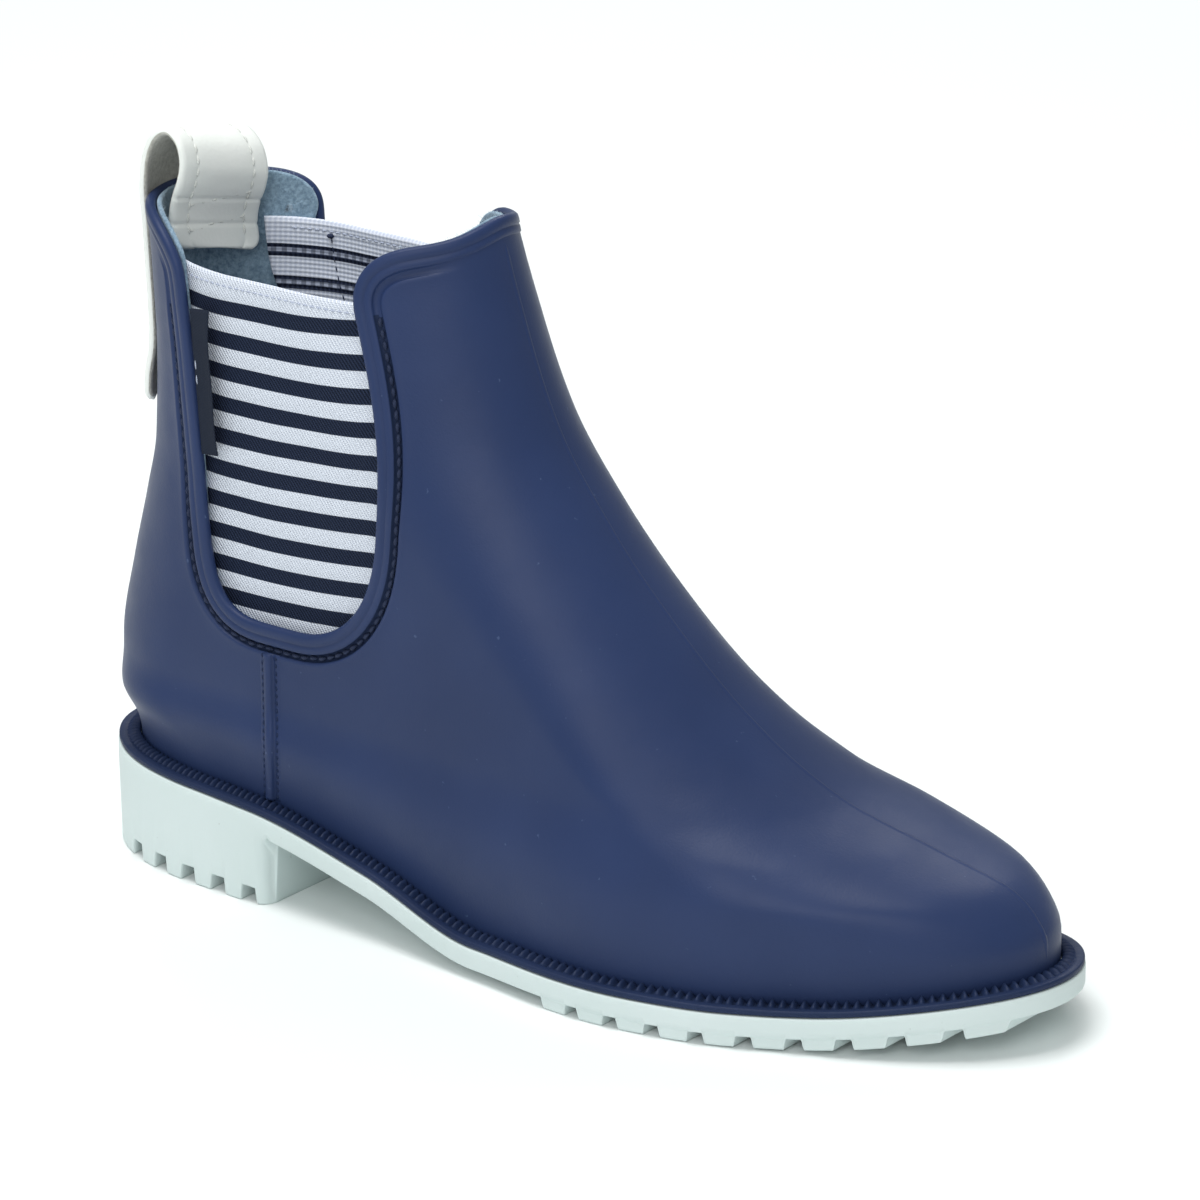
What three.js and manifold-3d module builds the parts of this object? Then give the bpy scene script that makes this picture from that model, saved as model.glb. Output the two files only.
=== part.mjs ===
// A right-foot ankle rain boot: a moulded upper with elastic side gores, a ribbed welt,
// a lugged heel-and-sole unit, a knitted lining, a removable footbed and a sewn pull strap.
// Millimetres, +Z up, +X to the toe, -Y to the outer (lateral) side.
// The shapes are worked out with x measured from the back of the sole and z from the ground;
// the finished group is then moved so that its origin is under the middle of its footprint.
import * as THREE from "three";
import { mergeVertices } from "three/addons/utils/BufferGeometryUtils.js";
import Module from "manifold-3d";

const wasm = await Module();
wasm.setup();

// Overall sizes
const SOLE_LENGTH = 266;
const BALL_WIDTH = 90;
const BOOT_HEIGHT = 173.5;
const FOOT_HEIGHT = 80;
const SHAFT_WIDTH = 59;
const SHAFT_DEPTH = 97.5;
const SHAFT_SETBACK = 12.8;

// Upper
const SHELL_WALL = 2.2;
const LINING_WALL = 1.2;
const COLLAR_DROP = 8;
const TAB_REACH = { lateral: 20, medial: 26 };
const HEEL_WIDTH = 51;
const BELLY = 2.2;
const BELLY_HEIGHT = 33;
const FOLD_HEIGHT = 60;

// Gores and their openings
const OPENING_BOTTOM = 70.5;
const OPENING_DROP = 11;
const OPENING_WIDTH = 51;
const OPENING_SHIFT = 1;
const OPENING_LEAN = 9;
const GORE_THICKNESS = 1.3;
const GORE_MARGIN = 9;
const GORE_DROP = 10.5;
const THREAD_RADIUS = 0.4;
const THREAD_INSET = 6.3;

// Welt and sole
const WELT_REACH = 5.6;
const WELT_THICKNESS = 2.6;
const SOLE_PROUD = 0.2;
const PLATE_THICKNESS = 5.2;
const HEEL_HEIGHT = 26;
const HEEL_LENGTH = 65;
const HEEL_SIDE_INSET = 0.8;
const HEEL_LUG_DEPTH = 4.6;
const HEEL_LUG_LENGTH = 8.6;
const HEEL_LUG_COUNT = 5;
const TREAD_LUG_DEPTH = 2.8;
const TREAD_LUG_LENGTH = 8.5;
const TREAD_LUG_COUNT = 9;
const TREAD_START = 130;
const TOE_SPRING = 7.5;
const TOE_SHIFT = 11.9;
const HEEL_WALL = 9;
const HEEL_FLOOR = 5;

// Insole stack
const BOARD_THICKNESS = 1.5;
const FOOTBED_THICKNESS = 4;
const COVER_THICKNESS = 0.8;
const FOOTBED_MARGIN = 1.5;

// Pull strap and label
const STRAP_WIDTH = 28;
const STRAP_THICKNESS = 2;
const LOOP_WIDTH = 14;
const LOOP_HEIGHT = 12.5;
const LOOP_LEAN = 8;
const STRAP_OUTER_LENGTH = 53;
const STRAP_INNER_LENGTH = 15;
const STRAP_RISE = 0.9;
const HINGE_GAP = 0.8;
const LABEL_TOP_WIDTH = 10;
const LABEL_FOOT_WIDTH = 6.5;
const LABEL_HEIGHT = 35;
const LABEL_THICKNESS = 0.8;
const LABEL_DROP = 10;

// Clearances
const GAP = 0.3;
const LABEL_GAP = 0.3;

// Fineness of the faceted surfaces
const COLUMNS = 40;
const LEVELS = [0.058, 0.1, 0.134, 0.169, 0.198, 0.227, 0.256, 0.291, 0.331, 0.384, 0.453, 0.535, 0.628,
  0.733, 0.849, 0.977];

// ---------------------------------------------------------------- curves

// Smooth curve through [place, value] pairs that never overshoots them.
function profile(points) {
  const count = points.length;
  const slopes = [];
  for (let i = 0; i < count - 1; i++) {
    slopes.push((points[i + 1][1] - points[i][1]) / (points[i + 1][0] - points[i][0]));
  }
  const tangents = points.map((_, i) => {
    if (i === 0) return slopes[0];
    if (i === count - 1) return slopes[count - 2];
    if (slopes[i - 1] * slopes[i] <= 0) return 0;
    return (2 * slopes[i - 1] * slopes[i]) / (slopes[i - 1] + slopes[i]);
  });
  return (place) => {
    if (place <= points[0][0]) return points[0][1];
    if (place >= points[count - 1][0]) return points[count - 1][1];
    let i = 0;
    while (place > points[i + 1][0]) i++;
    const span = points[i + 1][0] - points[i][0];
    const t = (place - points[i][0]) / span;
    const rest = 1 - t;
    return points[i][1] * (1 + 2 * t) * rest * rest
      + points[i + 1][1] * (3 - 2 * t) * t * t
      + span * t * rest * (tangents[i] * rest - tangents[i + 1] * t);
  };
}

function ease(t) {
  const clamped = Math.min(Math.max(t, 0), 1);
  return clamped * clamped * (3 - 2 * clamped);
}

// Quarter-ellipse rounding: 0 at the end of a plan outline, 1 from `reach` inwards.
function endCap(distance, reach) {
  const share = Math.min(Math.max(distance / reach, 0), 1);
  return Math.sqrt(Math.max(1 - (1 - share) * (1 - share), 0));
}

const collarBack = BOOT_HEIGHT - COLLAR_DROP;
const featherBack = WELT_REACH;
const featherFront = SOLE_LENGTH - WELT_REACH;
const shaftFront = SHAFT_SETBACK + SHAFT_DEPTH;
const shaftMiddle = SHAFT_SETBACK + SHAFT_DEPTH / 2;
const soleFlat = PLATE_THICKNESS + TREAD_LUG_DEPTH;

// Height of the top of the sole above the ground along the foot.
const soleTop = profile([
  [0, HEEL_HEIGHT],
  [HEEL_LENGTH - 5, HEEL_HEIGHT - 2.5],
  [HEEL_LENGTH + 0.12 * SOLE_LENGTH, soleFlat + 0.48 * (HEEL_HEIGHT - soleFlat)],
  [0.5 * SOLE_LENGTH, soleFlat],
  [0.66 * SOLE_LENGTH, soleFlat],
  [0.8 * SOLE_LENGTH, soleFlat + 0.5],
  [SOLE_LENGTH, soleFlat + TOE_SPRING],
]);

// Share of the boot's height: the foot takes the first part, the shaft takes the rest.
const FOOT_SHARE = 0.461;

function heightShare(h) {
  if (h < FOOT_HEIGHT) return (FOOT_SHARE * h) / FOOT_HEIGHT;
  return FOOT_SHARE + ((1 - FOOT_SHARE) * (h - FOOT_HEIGHT)) / (BOOT_HEIGHT - FOOT_HEIGHT);
}

function heightFromShare(share) {
  if (share < FOOT_SHARE) return (FOOT_HEIGHT * share) / FOOT_SHARE;
  return FOOT_HEIGHT + ((share - FOOT_SHARE) / (1 - FOOT_SHARE)) * (BOOT_HEIGHT - FOOT_HEIGHT);
}

// Places below are shares of the boot's height or of the sole's length.
// How far the front line has moved from the shaft (0) to the toe (1), by height.
const vampReach = profile([
  [0, 1], [0.021, 1], [0.058, 0.998], [0.106, 0.977], [0.156, 0.934], [0.217, 0.799], [0.273, 0.645],
  [0.372, 0.479], [0.482, 0.345], [0.6, 0.222], [0.72, 0.124], [0.85, 0.062], [1, 0.012], [1.1, 0],
]);
const backLine = profile([
  [0, featherBack], [0.021, featherBack], [0.16, 2.4], [0.31, 2.6], [0.43, 6.4], [0.53, 10.5],
  [0.614, 13.4], [0.75, 14.2], [0.87, 13.2], [0.96, SHAFT_SETBACK],
]);
const backRounding = profile([[0, 36], [0.21, 27], [0.63, 38], [0.85, 37], [0.96, 31]]);
const frontRounding = profile([
  [0, 72], [0.116, 66], [0.17, 57], [0.233, 44], [0.3, 36], [0.407, 36.5], [0.58, 42], [0.815, 50], [1.06, 64],
]);

// Half widths of the foot, outer and inner side.
const ballShare = (BALL_WIDTH / 2 - WELT_REACH) / 39.4;
const heelHalf = HEEL_WIDTH / 2;
const footLateral = profile([
  [0, heelHalf], [0.106, heelHalf], [0.217, heelHalf + 1.9], [0.367, 30 * ballShare], [0.508, 34.7 * ballShare],
  [0.658, 40 * ballShare], [0.734, 39.1 * ballShare], [0.83, 36.2 * ballShare], [1, 36.2 * ballShare],
]);
const footMedial = profile([
  [0, heelHalf], [0.106, heelHalf - 1.9], [0.217, heelHalf - 3.8], [0.367, 22.1 * ballShare],
  [0.478, 25.8 * ballShare], [0.608, 32.3 * ballShare], [0.719, 38.2 * ballShare], [0.8, 39.2 * ballShare],
  [0.9, 37.1 * ballShare], [1, 36.2 * ballShare],
]);

function toeShift(x) {
  return TOE_SHIFT * ease((x - 0.55 * SOLE_LENGTH) / (0.45 * SOLE_LENGTH));
}

function frontLine(h) {
  return shaftFront + (featherFront - shaftFront) * vampReach(heightShare(h));
}

// ---------------------------------------------------------------- surface of the upper

// Half width of the upper at x and at height h above the sole; side is -1 lateral, 1 medial.
function halfWidth(x, h, side) {
  const along = x / SOLE_LENGTH;
  const foot = side < 0 ? footLateral(along) : footMedial(along);
  const share = heightShare(h);
  const legShare = ease((share - 0.0635) / 0.53);
  const bellyShare = (h - GAP - WELT_THICKNESS) / BELLY_HEIGHT;
  const belly = BELLY * Math.sin(Math.PI * Math.min(Math.max(bellyShare, 0), 1));
  const width = foot * (1 - legShare) + (SHAFT_WIDTH / 2) * legShare + belly;
  const back = endCap(x - backLine(share), backRounding(share));
  const front = endCap(frontLine(h) - x, frontRounding(share));
  return width * back * front;
}

function heightAt(x, h) {
  return h + soleTop(x) * (1 - ease(h / FOLD_HEIGHT));
}

// Point of the outer surface: angle 0 at the heel, PI at the toe, outer side first.
function upperPoint(angle, h) {
  const back = backLine(heightShare(h));
  const x = back + ((frontLine(h) - back) * (1 - Math.cos(angle))) / 2;
  const side = Math.sin(angle) >= 0 ? -1 : 1;
  return new THREE.Vector3(x, toeShift(x) + side * halfWidth(x, h, side), heightAt(x, h));
}

// The same point moved inwards along the surface normal by a depth (outwards if negative).
function layerPoint(angle, h, depth) {
  const point = upperPoint(angle, h);
  const step = 0.02;
  const rise = h > 4 ? 0.5 : 0;
  const along = upperPoint(angle + step, h).sub(upperPoint(angle - step, h));
  const up = rise > 0
    ? upperPoint(angle, h + rise).sub(upperPoint(angle, h - rise))
    : new THREE.Vector3(0, 0, 1);
  const outward = new THREE.Vector3().crossVectors(along, up).normalize();
  return point.addScaledVector(outward, -depth);
}

function ring(h, depth) {
  const points = [];
  for (let i = 0; i < COLUMNS; i++) points.push(layerPoint((2 * Math.PI * i) / COLUMNS, h, depth));
  return points;
}

// Outline of the foot at the sole, grown outwards by a reach, at heights given by a function of x.
function footRing(reach, heightOf) {
  return ring(0, -reach).map((point) => new THREE.Vector3(point.x, point.y, heightOf(point.x)));
}

// ---------------------------------------------------------------- solids

// Closed solid from a stack of rings of equal count. Open ends are closed straight across the
// foot, from each point to the one opposite; a looped stack joins its last ring to its first.
function stack(rings, looped) {
  const count = rings[0].length;
  const positions = [];
  for (const points of rings) {
    for (const point of points) positions.push(point.x, point.y, point.z);
  }
  const index = [];
  // Every layer splits its four-sided faces along the same diagonal, so that layers nest.
  const quad = (a, b, c, d, falling) => {
    if (falling) index.push(a, b, d, b, c, d);
    else index.push(a, b, c, a, c, d);
  };
  const lastBand = looped ? rings.length : rings.length - 1;
  for (let level = 0; level < lastBand; level++) {
    const low = level * count;
    const high = ((level + 1) % rings.length) * count;
    const falling = positions[3 * high + 2] < positions[3 * low + 2];
    for (let i = 0; i < count; i++) {
      const next = (i + 1) % count;
      quad(low + i, low + next, high + next, high + i, falling);
    }
  }
  if (!looped) {
    const cap = (start, facing) => {
      for (let i = 0; i < count / 2; i++) {
        const left = start + i;
        const leftNext = start + i + 1;
        const right = start + ((count - i) % count);
        const rightNext = start + count - i - 1;
        const faces = [];
        if (leftNext !== rightNext) faces.push([left, leftNext, rightNext]);
        if (left !== right) faces.push([left, rightNext, right]);
        for (const [a, b, c] of faces) {
          if (facing > 0) index.push(a, b, c);
          else index.push(a, c, b);
        }
      }
    };
    cap(0, -1);
    cap((rings.length - 1) * count, 1);
  }
  const geometry = new THREE.BufferGeometry();
  geometry.setAttribute("position", new THREE.Float32BufferAttribute(positions, 3));
  geometry.setIndex(index);
  return geometry;
}

function toManifold(geometry) {
  const bare = geometry.clone();
  bare.deleteAttribute("normal");
  bare.deleteAttribute("uv");
  const merged = mergeVertices(bare, 1e-4);
  return new wasm.Manifold(new wasm.Mesh({
    numProp: 3,
    vertProperties: new Float32Array(merged.attributes.position.array),
    triVerts: new Uint32Array(merged.index.array),
  }));
}

function toGeometry(manifold) {
  const mesh = manifold.getMesh();
  const geometry = new THREE.BufferGeometry();
  geometry.setAttribute("position", new THREE.Float32BufferAttribute(mesh.vertProperties, 3));
  geometry.setIndex(new THREE.Uint32BufferAttribute(mesh.triVerts, 1));
  geometry.computeVertexNormals();
  return geometry;
}

function block(x0, x1, y0, y1, z0, z1) {
  const geometry = new THREE.BoxGeometry(x1 - x0, y1 - y0, z1 - z0);
  geometry.translate((x0 + x1) / 2, (y0 + y1) / 2, (z0 + z1) / 2);
  return toManifold(geometry);
}

// Side-view outline (x, z) pushed through the boot from y0 to y1.
function sidePrism(shape, y0, y1) {
  const geometry = new THREE.ExtrudeGeometry(shape, { depth: y1 - y0, bevelEnabled: false, curveSegments: 8 });
  geometry.rotateX(Math.PI / 2);
  geometry.translate(0, y1, 0);
  return toManifold(geometry);
}

// Slab over the foot outline between two heights that follow x.
function slab(reach, bottomOf, topOf) {
  return toManifold(stack([footRing(reach, bottomOf), footRing(reach, topOf)], false));
}

// Heights of the rings of a wall that starts at a height; the wall is upright beside the welt.
function levelsAbove(start) {
  const top = BOOT_HEIGHT + 16;
  const wallStart = GAP + WELT_THICKNESS;
  const scaled = LEVELS.map(heightFromShare);
  return [start, ...[wallStart, ...scaled].filter((level) => level > start + 1), top];
}

// Sleeve between two depths below the outer surface, open at the top and bottom.
function sleeve(outerDepth, innerDepth, start) {
  const levels = levelsAbove(start);
  const outer = levels.map((h) => ring(h, outerDepth));
  const inner = levels.map((h) => ring(h, innerDepth));
  return toManifold(stack([...outer, ...inner.reverse()], true));
}

// ---------------------------------------------------------------- collar and gore openings

const farAbove = BOOT_HEIGHT + 120;
const openingTop = collarBack - OPENING_DROP;
const openingMiddle = shaftMiddle + OPENING_SHIFT;
const rearTop = openingMiddle - OPENING_WIDTH / 2;
const frontTop = openingMiddle + OPENING_WIDTH / 2;

// Gore opening in side view, grown outwards by `grow`, from its rear top to its front top.
function openingPath(grow) {
  const bottom = OPENING_BOTTOM - grow;
  const rear = rearTop + OPENING_LEAN - grow;
  const front = frontTop + OPENING_LEAN + grow;
  const path = new THREE.Path();
  path.moveTo(rearTop - grow, openingTop);
  path.lineTo(rear, bottom + 19 + grow / 2);
  path.bezierCurveTo(rear + 1, bottom + 4, rear + 5, bottom, rear + 15 + grow / 2, bottom);
  path.lineTo(front - 22 - grow / 2, bottom);
  const bulge = bottom + 32 + grow / 2;
  const rise = openingTop - bulge;
  path.bezierCurveTo(front - 8, bottom + 2, front, bottom + 14, front, bulge);
  path.bezierCurveTo(front + 2, bulge + 0.3 * rise, front - 2, bulge + 0.58 * rise, frontTop + grow, openingTop);
  return path;
}

// Everything above the collar line and inside the gore opening, on one side of the boot.
function collarCutter(side, drop) {
  const tab = SHAFT_SETBACK + TAB_REACH[side];
  const backTop = collarBack - drop;
  const frontEdge = BOOT_HEIGHT - drop;
  const shape = new THREE.Shape();
  shape.moveTo(-60, farAbove);
  shape.lineTo(-60, backTop);
  shape.lineTo(SHAFT_SETBACK + 4, backTop);
  shape.bezierCurveTo(tab - 8, backTop, tab - 1, backTop - 3, rearTop - drop, openingTop);
  for (const point of openingPath(0).getPoints(8).slice(1)) shape.lineTo(point.x, point.y);
  shape.bezierCurveTo(frontTop, frontEdge - 10, frontTop + 12, frontEdge - 6, shaftFront + 10, frontEdge);
  shape.lineTo(shaftFront + 120, frontEdge);
  shape.lineTo(shaftFront + 120, farAbove);
  shape.closePath();
  return side === "lateral" ? sidePrism(shape, -80, 0) : sidePrism(shape, 0, 80);
}

function cutCollar(manifold, drop) {
  return manifold.subtract(collarCutter("lateral", drop).add(collarCutter("medial", drop)));
}

const shellInner = SHELL_WALL;
const liningOuter = shellInner + GAP;
const liningInner = liningOuter + LINING_WALL;
const goreOuter = liningInner + GAP;
const goreInner = goreOuter + GORE_THICKNESS;
const sideSign = { lateral: -1, medial: 1 };

// ---------------------------------------------------------------- pieces

const group = new THREE.Group();

function addPiece(name, geometry, color, roughness) {
  const material = new THREE.MeshStandardMaterial({ color, roughness, metalness: 0 });
  const mesh = new THREE.Mesh(geometry, material);
  mesh.name = name;
  group.add(mesh);
  return mesh;
}

const NAVY = 0x2b3a6b;
const OFF_WHITE = 0xe8f0ee;
const HEATHER = 0x5f7f9c;

function makeUpperShell() {
  const levels = levelsAbove(GAP);
  const outer = levels.map((h) => ring(h, 0));
  const floorHeight = GAP + SHELL_WALL;
  const inner = levelsAbove(floorHeight).map((h) => ring(h, shellInner));
  const shell = toManifold(stack([...outer, ...inner.reverse()], false));
  addPiece("upper_shell", toGeometry(cutCollar(shell, 0)), NAVY, 0.42);
}

function makeLining() {
  const start = GAP + SHELL_WALL + GAP;
  addPiece("lining", toGeometry(cutCollar(sleeve(liningOuter, liningInner, start), 0.6)), HEATHER, 0.95);
}

// Elastic panel sewn inside the lining, overlapping its opening by a margin all round.
function makeGore(side) {
  const shape = new THREE.Shape(openingPath(GORE_MARGIN).getPoints(6));
  const panel = sidePrism(shape, side === "lateral" ? -80 : 5, side === "lateral" ? -5 : 80);
  const below = block(-60, 300, -90, 90, -10, collarBack - GORE_DROP);
  const strapSeat = strapRegion(STRAP_INNER_LENGTH, GAP);
  const gore = sleeve(goreOuter, goreInner, 30).intersect(panel).intersect(below).subtract(strapSeat);
  addPiece(`gore_${side}`, toGeometry(gore), 0xdfe4ee, 0.9);
}

// Outward point beside the outer surface at a side-view place (x, z).
function besideWall(x, z, sign, reach) {
  const surface = (px, pz) => toeShift(px) + sign * halfWidth(px, pz, sign);
  const step = 0.5;
  const slopeX = (surface(x + step, z) - surface(x - step, z)) / (2 * step);
  const slopeZ = (surface(x, z + step) - surface(x, z - step)) / (2 * step);
  const outward = new THREE.Vector3(-sign * slopeX, sign, -sign * slopeZ).normalize();
  return new THREE.Vector3(x, surface(x, z), z).addScaledVector(outward, reach);
}

// The sewing thread that runs in the groove round each opening.
function makeGoreThread(side) {
  const sign = sideSign[side];
  const path = openingPath(THREAD_INSET).getSpacedPoints(26).slice(1, -1);
  const points = path.map((place) => besideWall(place.x, place.y, sign, GAP + THREAD_RADIUS));
  const section = new THREE.Shape();
  const corners = 6;
  for (let i = 0; i < corners; i++) {
    const angle = (2 * Math.PI * i) / corners;
    const x = THREAD_RADIUS * Math.cos(angle);
    const y = THREAD_RADIUS * Math.sin(angle);
    if (i === 0) section.moveTo(x, y);
    else section.lineTo(x, y);
  }
  const curve = new THREE.CatmullRomCurve3(points);
  const tube = new THREE.ExtrudeGeometry(section, { steps: 34, bevelEnabled: false, extrudePath: curve });
  addPiece(`gore_thread_${side}`, toGeometry(toManifold(tube)), 0x1c2442, 0.8);
}

// Ribbed strip that rings the upper where it meets the sole.
function makeWelt() {
  const seat = (x) => soleTop(x) + GAP;
  const crown = (x) => soleTop(x) + GAP + WELT_THICKNESS;
  const rings = [
    footRing(WELT_REACH, seat),
    footRing(WELT_REACH, crown),
    footRing(GAP, crown),
    footRing(GAP, seat),
  ];
  addPiece("welt", toGeometry(toManifold(stack(rings, true))), NAVY, 0.5);
}

const soleReach = WELT_REACH + SOLE_PROUD;
const plateBottom = (x) => soleTop(x) - PLATE_THICKNESS;

// Spaced bars across the sole, each with its own flat foot.
function lugBars(count, start, end, length, footOf, topOf) {
  const pitch = (end - start - length) / (count - 1);
  let bars = null;
  for (let i = 0; i < count; i++) {
    const x0 = start + i * pitch;
    const middle = x0 + length / 2;
    const bar = block(x0, x0 + length, -80, 80, footOf(middle), topOf(middle));
    bars = bars === null ? bar : bars.add(bar);
  }
  return bars;
}

function makeOutsole() {
  const plate = slab(soleReach, plateBottom, soleTop);
  const heelTop = HEEL_HEIGHT - 3 - PLATE_THICKNESS / 4;
  const heelReach = soleReach - HEEL_SIDE_INSET;
  const heelRegion = block(-20, HEEL_LENGTH, -90, 90, -10, HEEL_HEIGHT);
  const heel = slab(heelReach, () => HEEL_LUG_DEPTH, () => heelTop).intersect(heelRegion);
  const heelFoot = slab(heelReach, () => 0, () => HEEL_LUG_DEPTH + 1).intersect(heelRegion);
  const heelBars = lugBars(HEEL_LUG_COUNT, 0, HEEL_LENGTH, HEEL_LUG_LENGTH, () => -1, () => HEEL_LUG_DEPTH + 1);
  const treadArea = slab(heelReach, () => -1, (x) => soleTop(x) - PLATE_THICKNESS / 3);
  const treadFoot = (x) => plateBottom(x) - TREAD_LUG_DEPTH;
  const treadEnd = SOLE_LENGTH - 4;
  const treadTop = (x) => plateBottom(x) + 1.5;
  const treadBars = lugBars(TREAD_LUG_COUNT, TREAD_START, treadEnd, TREAD_LUG_LENGTH, treadFoot, treadTop);
  const pocket = heelCoreSolid(0, () => HEEL_HEIGHT + 5);
  const sole = plate
    .add(heel)
    .add(heelFoot.intersect(heelBars))
    .add(treadArea.intersect(treadBars))
    .subtract(pocket);
  addPiece("outsole", toGeometry(sole), OFF_WHITE, 0.45);
}

// Filler of the hollow heel, open to the top of the sole; `inset` is its clearance in the pocket.
function heelCoreSolid(inset, topOf) {
  const reach = soleReach - HEEL_WALL - inset;
  const floor = HEEL_LUG_DEPTH + HEEL_FLOOR + inset;
  const region = block(-20, HEEL_LENGTH - HEEL_WALL - inset, -90, 90, 0, HEEL_HEIGHT + 20);
  return slab(reach, () => floor, topOf).intersect(region);
}

function makeHeelCore() {
  addPiece("heel_core", toGeometry(heelCoreSolid(GAP, soleTop)), 0xcfc9bb, 0.9);
}

// Flat layer inside the lining, lying at a height above the sole.
function insoleLayer(name, margin, low, thickness, color) {
  const layer = slab(-(liningInner + margin), (x) => soleTop(x) + low, (x) => soleTop(x) + low + thickness);
  addPiece(name, toGeometry(layer), color, 0.95);
}

const boardLow = GAP + SHELL_WALL + GAP;
const footbedLow = boardLow + BOARD_THICKNESS + GAP;
const coverLow = footbedLow + FOOTBED_THICKNESS + GAP;

function makeInsoles() {
  insoleLayer("insole_board", GAP, boardLow, BOARD_THICKNESS, 0xb8a888);
  insoleLayer("footbed", FOOTBED_MARGIN, footbedLow, FOOTBED_THICKNESS, 0xd9dde2);
  insoleLayer("footbed_cover", FOOTBED_MARGIN, coverLow, COVER_THICKNESS, HEATHER);
}

// The strap's two sewn ends follow the back of the boot outside and inside the collar.
const legTop = collarBack + STRAP_RISE;

// Space that a sewn end takes at the back of the boot, grown by a clearance.
function strapRegion(length, clearance) {
  const half = STRAP_WIDTH / 2 + clearance;
  return block(-20, shaftMiddle - 20, -half, half, legTop - length - clearance, legTop + clearance);
}

function makeStrapEnds() {
  const outer = sleeve(-(GAP + STRAP_THICKNESS), -GAP, 30).intersect(strapRegion(STRAP_OUTER_LENGTH, 0));
  addPiece("pull_strap_outer_end", toGeometry(outer), OFF_WHITE, 0.55);
  const depth = liningInner + GAP;
  const inner = sleeve(depth, depth + STRAP_THICKNESS, 30).intersect(strapRegion(STRAP_INNER_LENGTH, 0));
  addPiece("pull_strap_inner_end", toGeometry(inner), OFF_WHITE, 0.55);
}

// The free loop above the collar, a band bent round an ellipse and open at its foot.
function makePullLoop() {
  const legSpan = liningInner + 2 * GAP + STRAP_THICKNESS;
  const middle = SHAFT_SETBACK + liningInner / 2;
  const a = (LOOP_WIDTH - STRAP_THICKNESS) / 2;
  const footAngle = Math.asin(legSpan / 2 / a);
  const b = (LOOP_HEIGHT - STRAP_THICKNESS / 2) / (1 + Math.cos(footAngle));
  const foot = legTop + HINGE_GAP;
  const centre = foot + b * Math.cos(footAngle);
  const steps = 28;
  const sweep = 2 * (Math.PI - footAngle);
  const side = (offset) => {
    const points = [];
    for (let i = 0; i <= steps; i++) {
      const angle = -Math.PI / 2 - footAngle - (sweep * i) / steps;
      const z = Math.max(centre + (b + offset) * Math.sin(angle), foot);
      const lean = LOOP_LEAN * ease((z - foot) / (0.6 * LOOP_HEIGHT));
      points.push(new THREE.Vector2(middle + (a + offset) * Math.cos(angle) + lean, z));
    }
    return points;
  };
  const outline = [...side(STRAP_THICKNESS / 2), ...side(-STRAP_THICKNESS / 2).reverse()];
  const band = sidePrism(new THREE.Shape(outline), -STRAP_WIDTH / 2, STRAP_WIDTH / 2);
  addPiece("pull_loop", toGeometry(band), OFF_WHITE, 0.55);
}

// Woven flag label, sewn by its rear edge beside the opening of the outer gore.
function makeFlagLabel() {
  const labelTop = openingTop - LABEL_DROP;
  const labelFoot = labelTop - LABEL_HEIGHT;
  const slope = OPENING_LEAN / (openingTop - OPENING_BOTTOM - 19);
  const edgeX = (z) => rearTop + slope * (openingTop - z) + LABEL_GAP + LABEL_THICKNESS / 2;
  const low = besideWall(edgeX(labelFoot), labelFoot, -1, -LABEL_THICKNESS);
  const high = besideWall(edgeX(labelTop), labelTop, -1, -LABEL_THICKNESS);
  const middleZ = (labelTop + labelFoot) / 2;
  const width = (LABEL_TOP_WIDTH + LABEL_FOOT_WIDTH) / 2;
  const far = besideWall(edgeX(middleZ) + width, middleZ, -1, -LABEL_THICKNESS);
  const up = high.clone().sub(low).normalize();
  const across = far.sub(low);
  across.addScaledVector(up, -across.dot(up)).normalize();
  const outward = new THREE.Vector3().crossVectors(across, up);
  const length = high.distanceTo(low);
  const outline = new THREE.Shape();
  outline.moveTo(0, 0);
  outline.lineTo(LABEL_FOOT_WIDTH, 0);
  outline.lineTo(LABEL_TOP_WIDTH, length);
  outline.lineTo(0, length);
  outline.closePath();
  const geometry = new THREE.ExtrudeGeometry(outline, { depth: LABEL_THICKNESS, bevelEnabled: false });
  geometry.translate(0, 0, -LABEL_THICKNESS / 2);
  const label = addPiece("flag_label", toGeometry(toManifold(geometry)), 0x20294a, 0.8);
  const frame = new THREE.Matrix4().makeBasis(across, up, outward);
  frame.setPosition(low);
  label.applyMatrix4(frame);
}

makeUpperShell();
makeLining();
makeGore("lateral");
makeGore("medial");
makeGoreThread("lateral");
makeGoreThread("medial");
makeWelt();
makeOutsole();
makeHeelCore();
makeInsoles();
makeStrapEnds();
makePullLoop();
makeFlagLabel();

// Origin under the middle of the footprint, with the ground at z = 0.
const extent = new THREE.Box3().setFromObject(group);
const centre = extent.getCenter(new THREE.Vector3());
group.position.set(-centre.x, -centre.y, 0);

export default group;
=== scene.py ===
"""Looks of a right-foot ankle rain boot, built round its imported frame.

Shapes are worked out in millimetres, with x measured from the back of the sole, y across the
foot (the outer, lateral side is negative) and z from the ground. make_piece turns them into
metres in the frame's own axes.
"""
import math

import bmesh
import bpy
import numpy as np
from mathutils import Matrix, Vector
from mathutils.geometry import delaunay_2d_cdt


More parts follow.
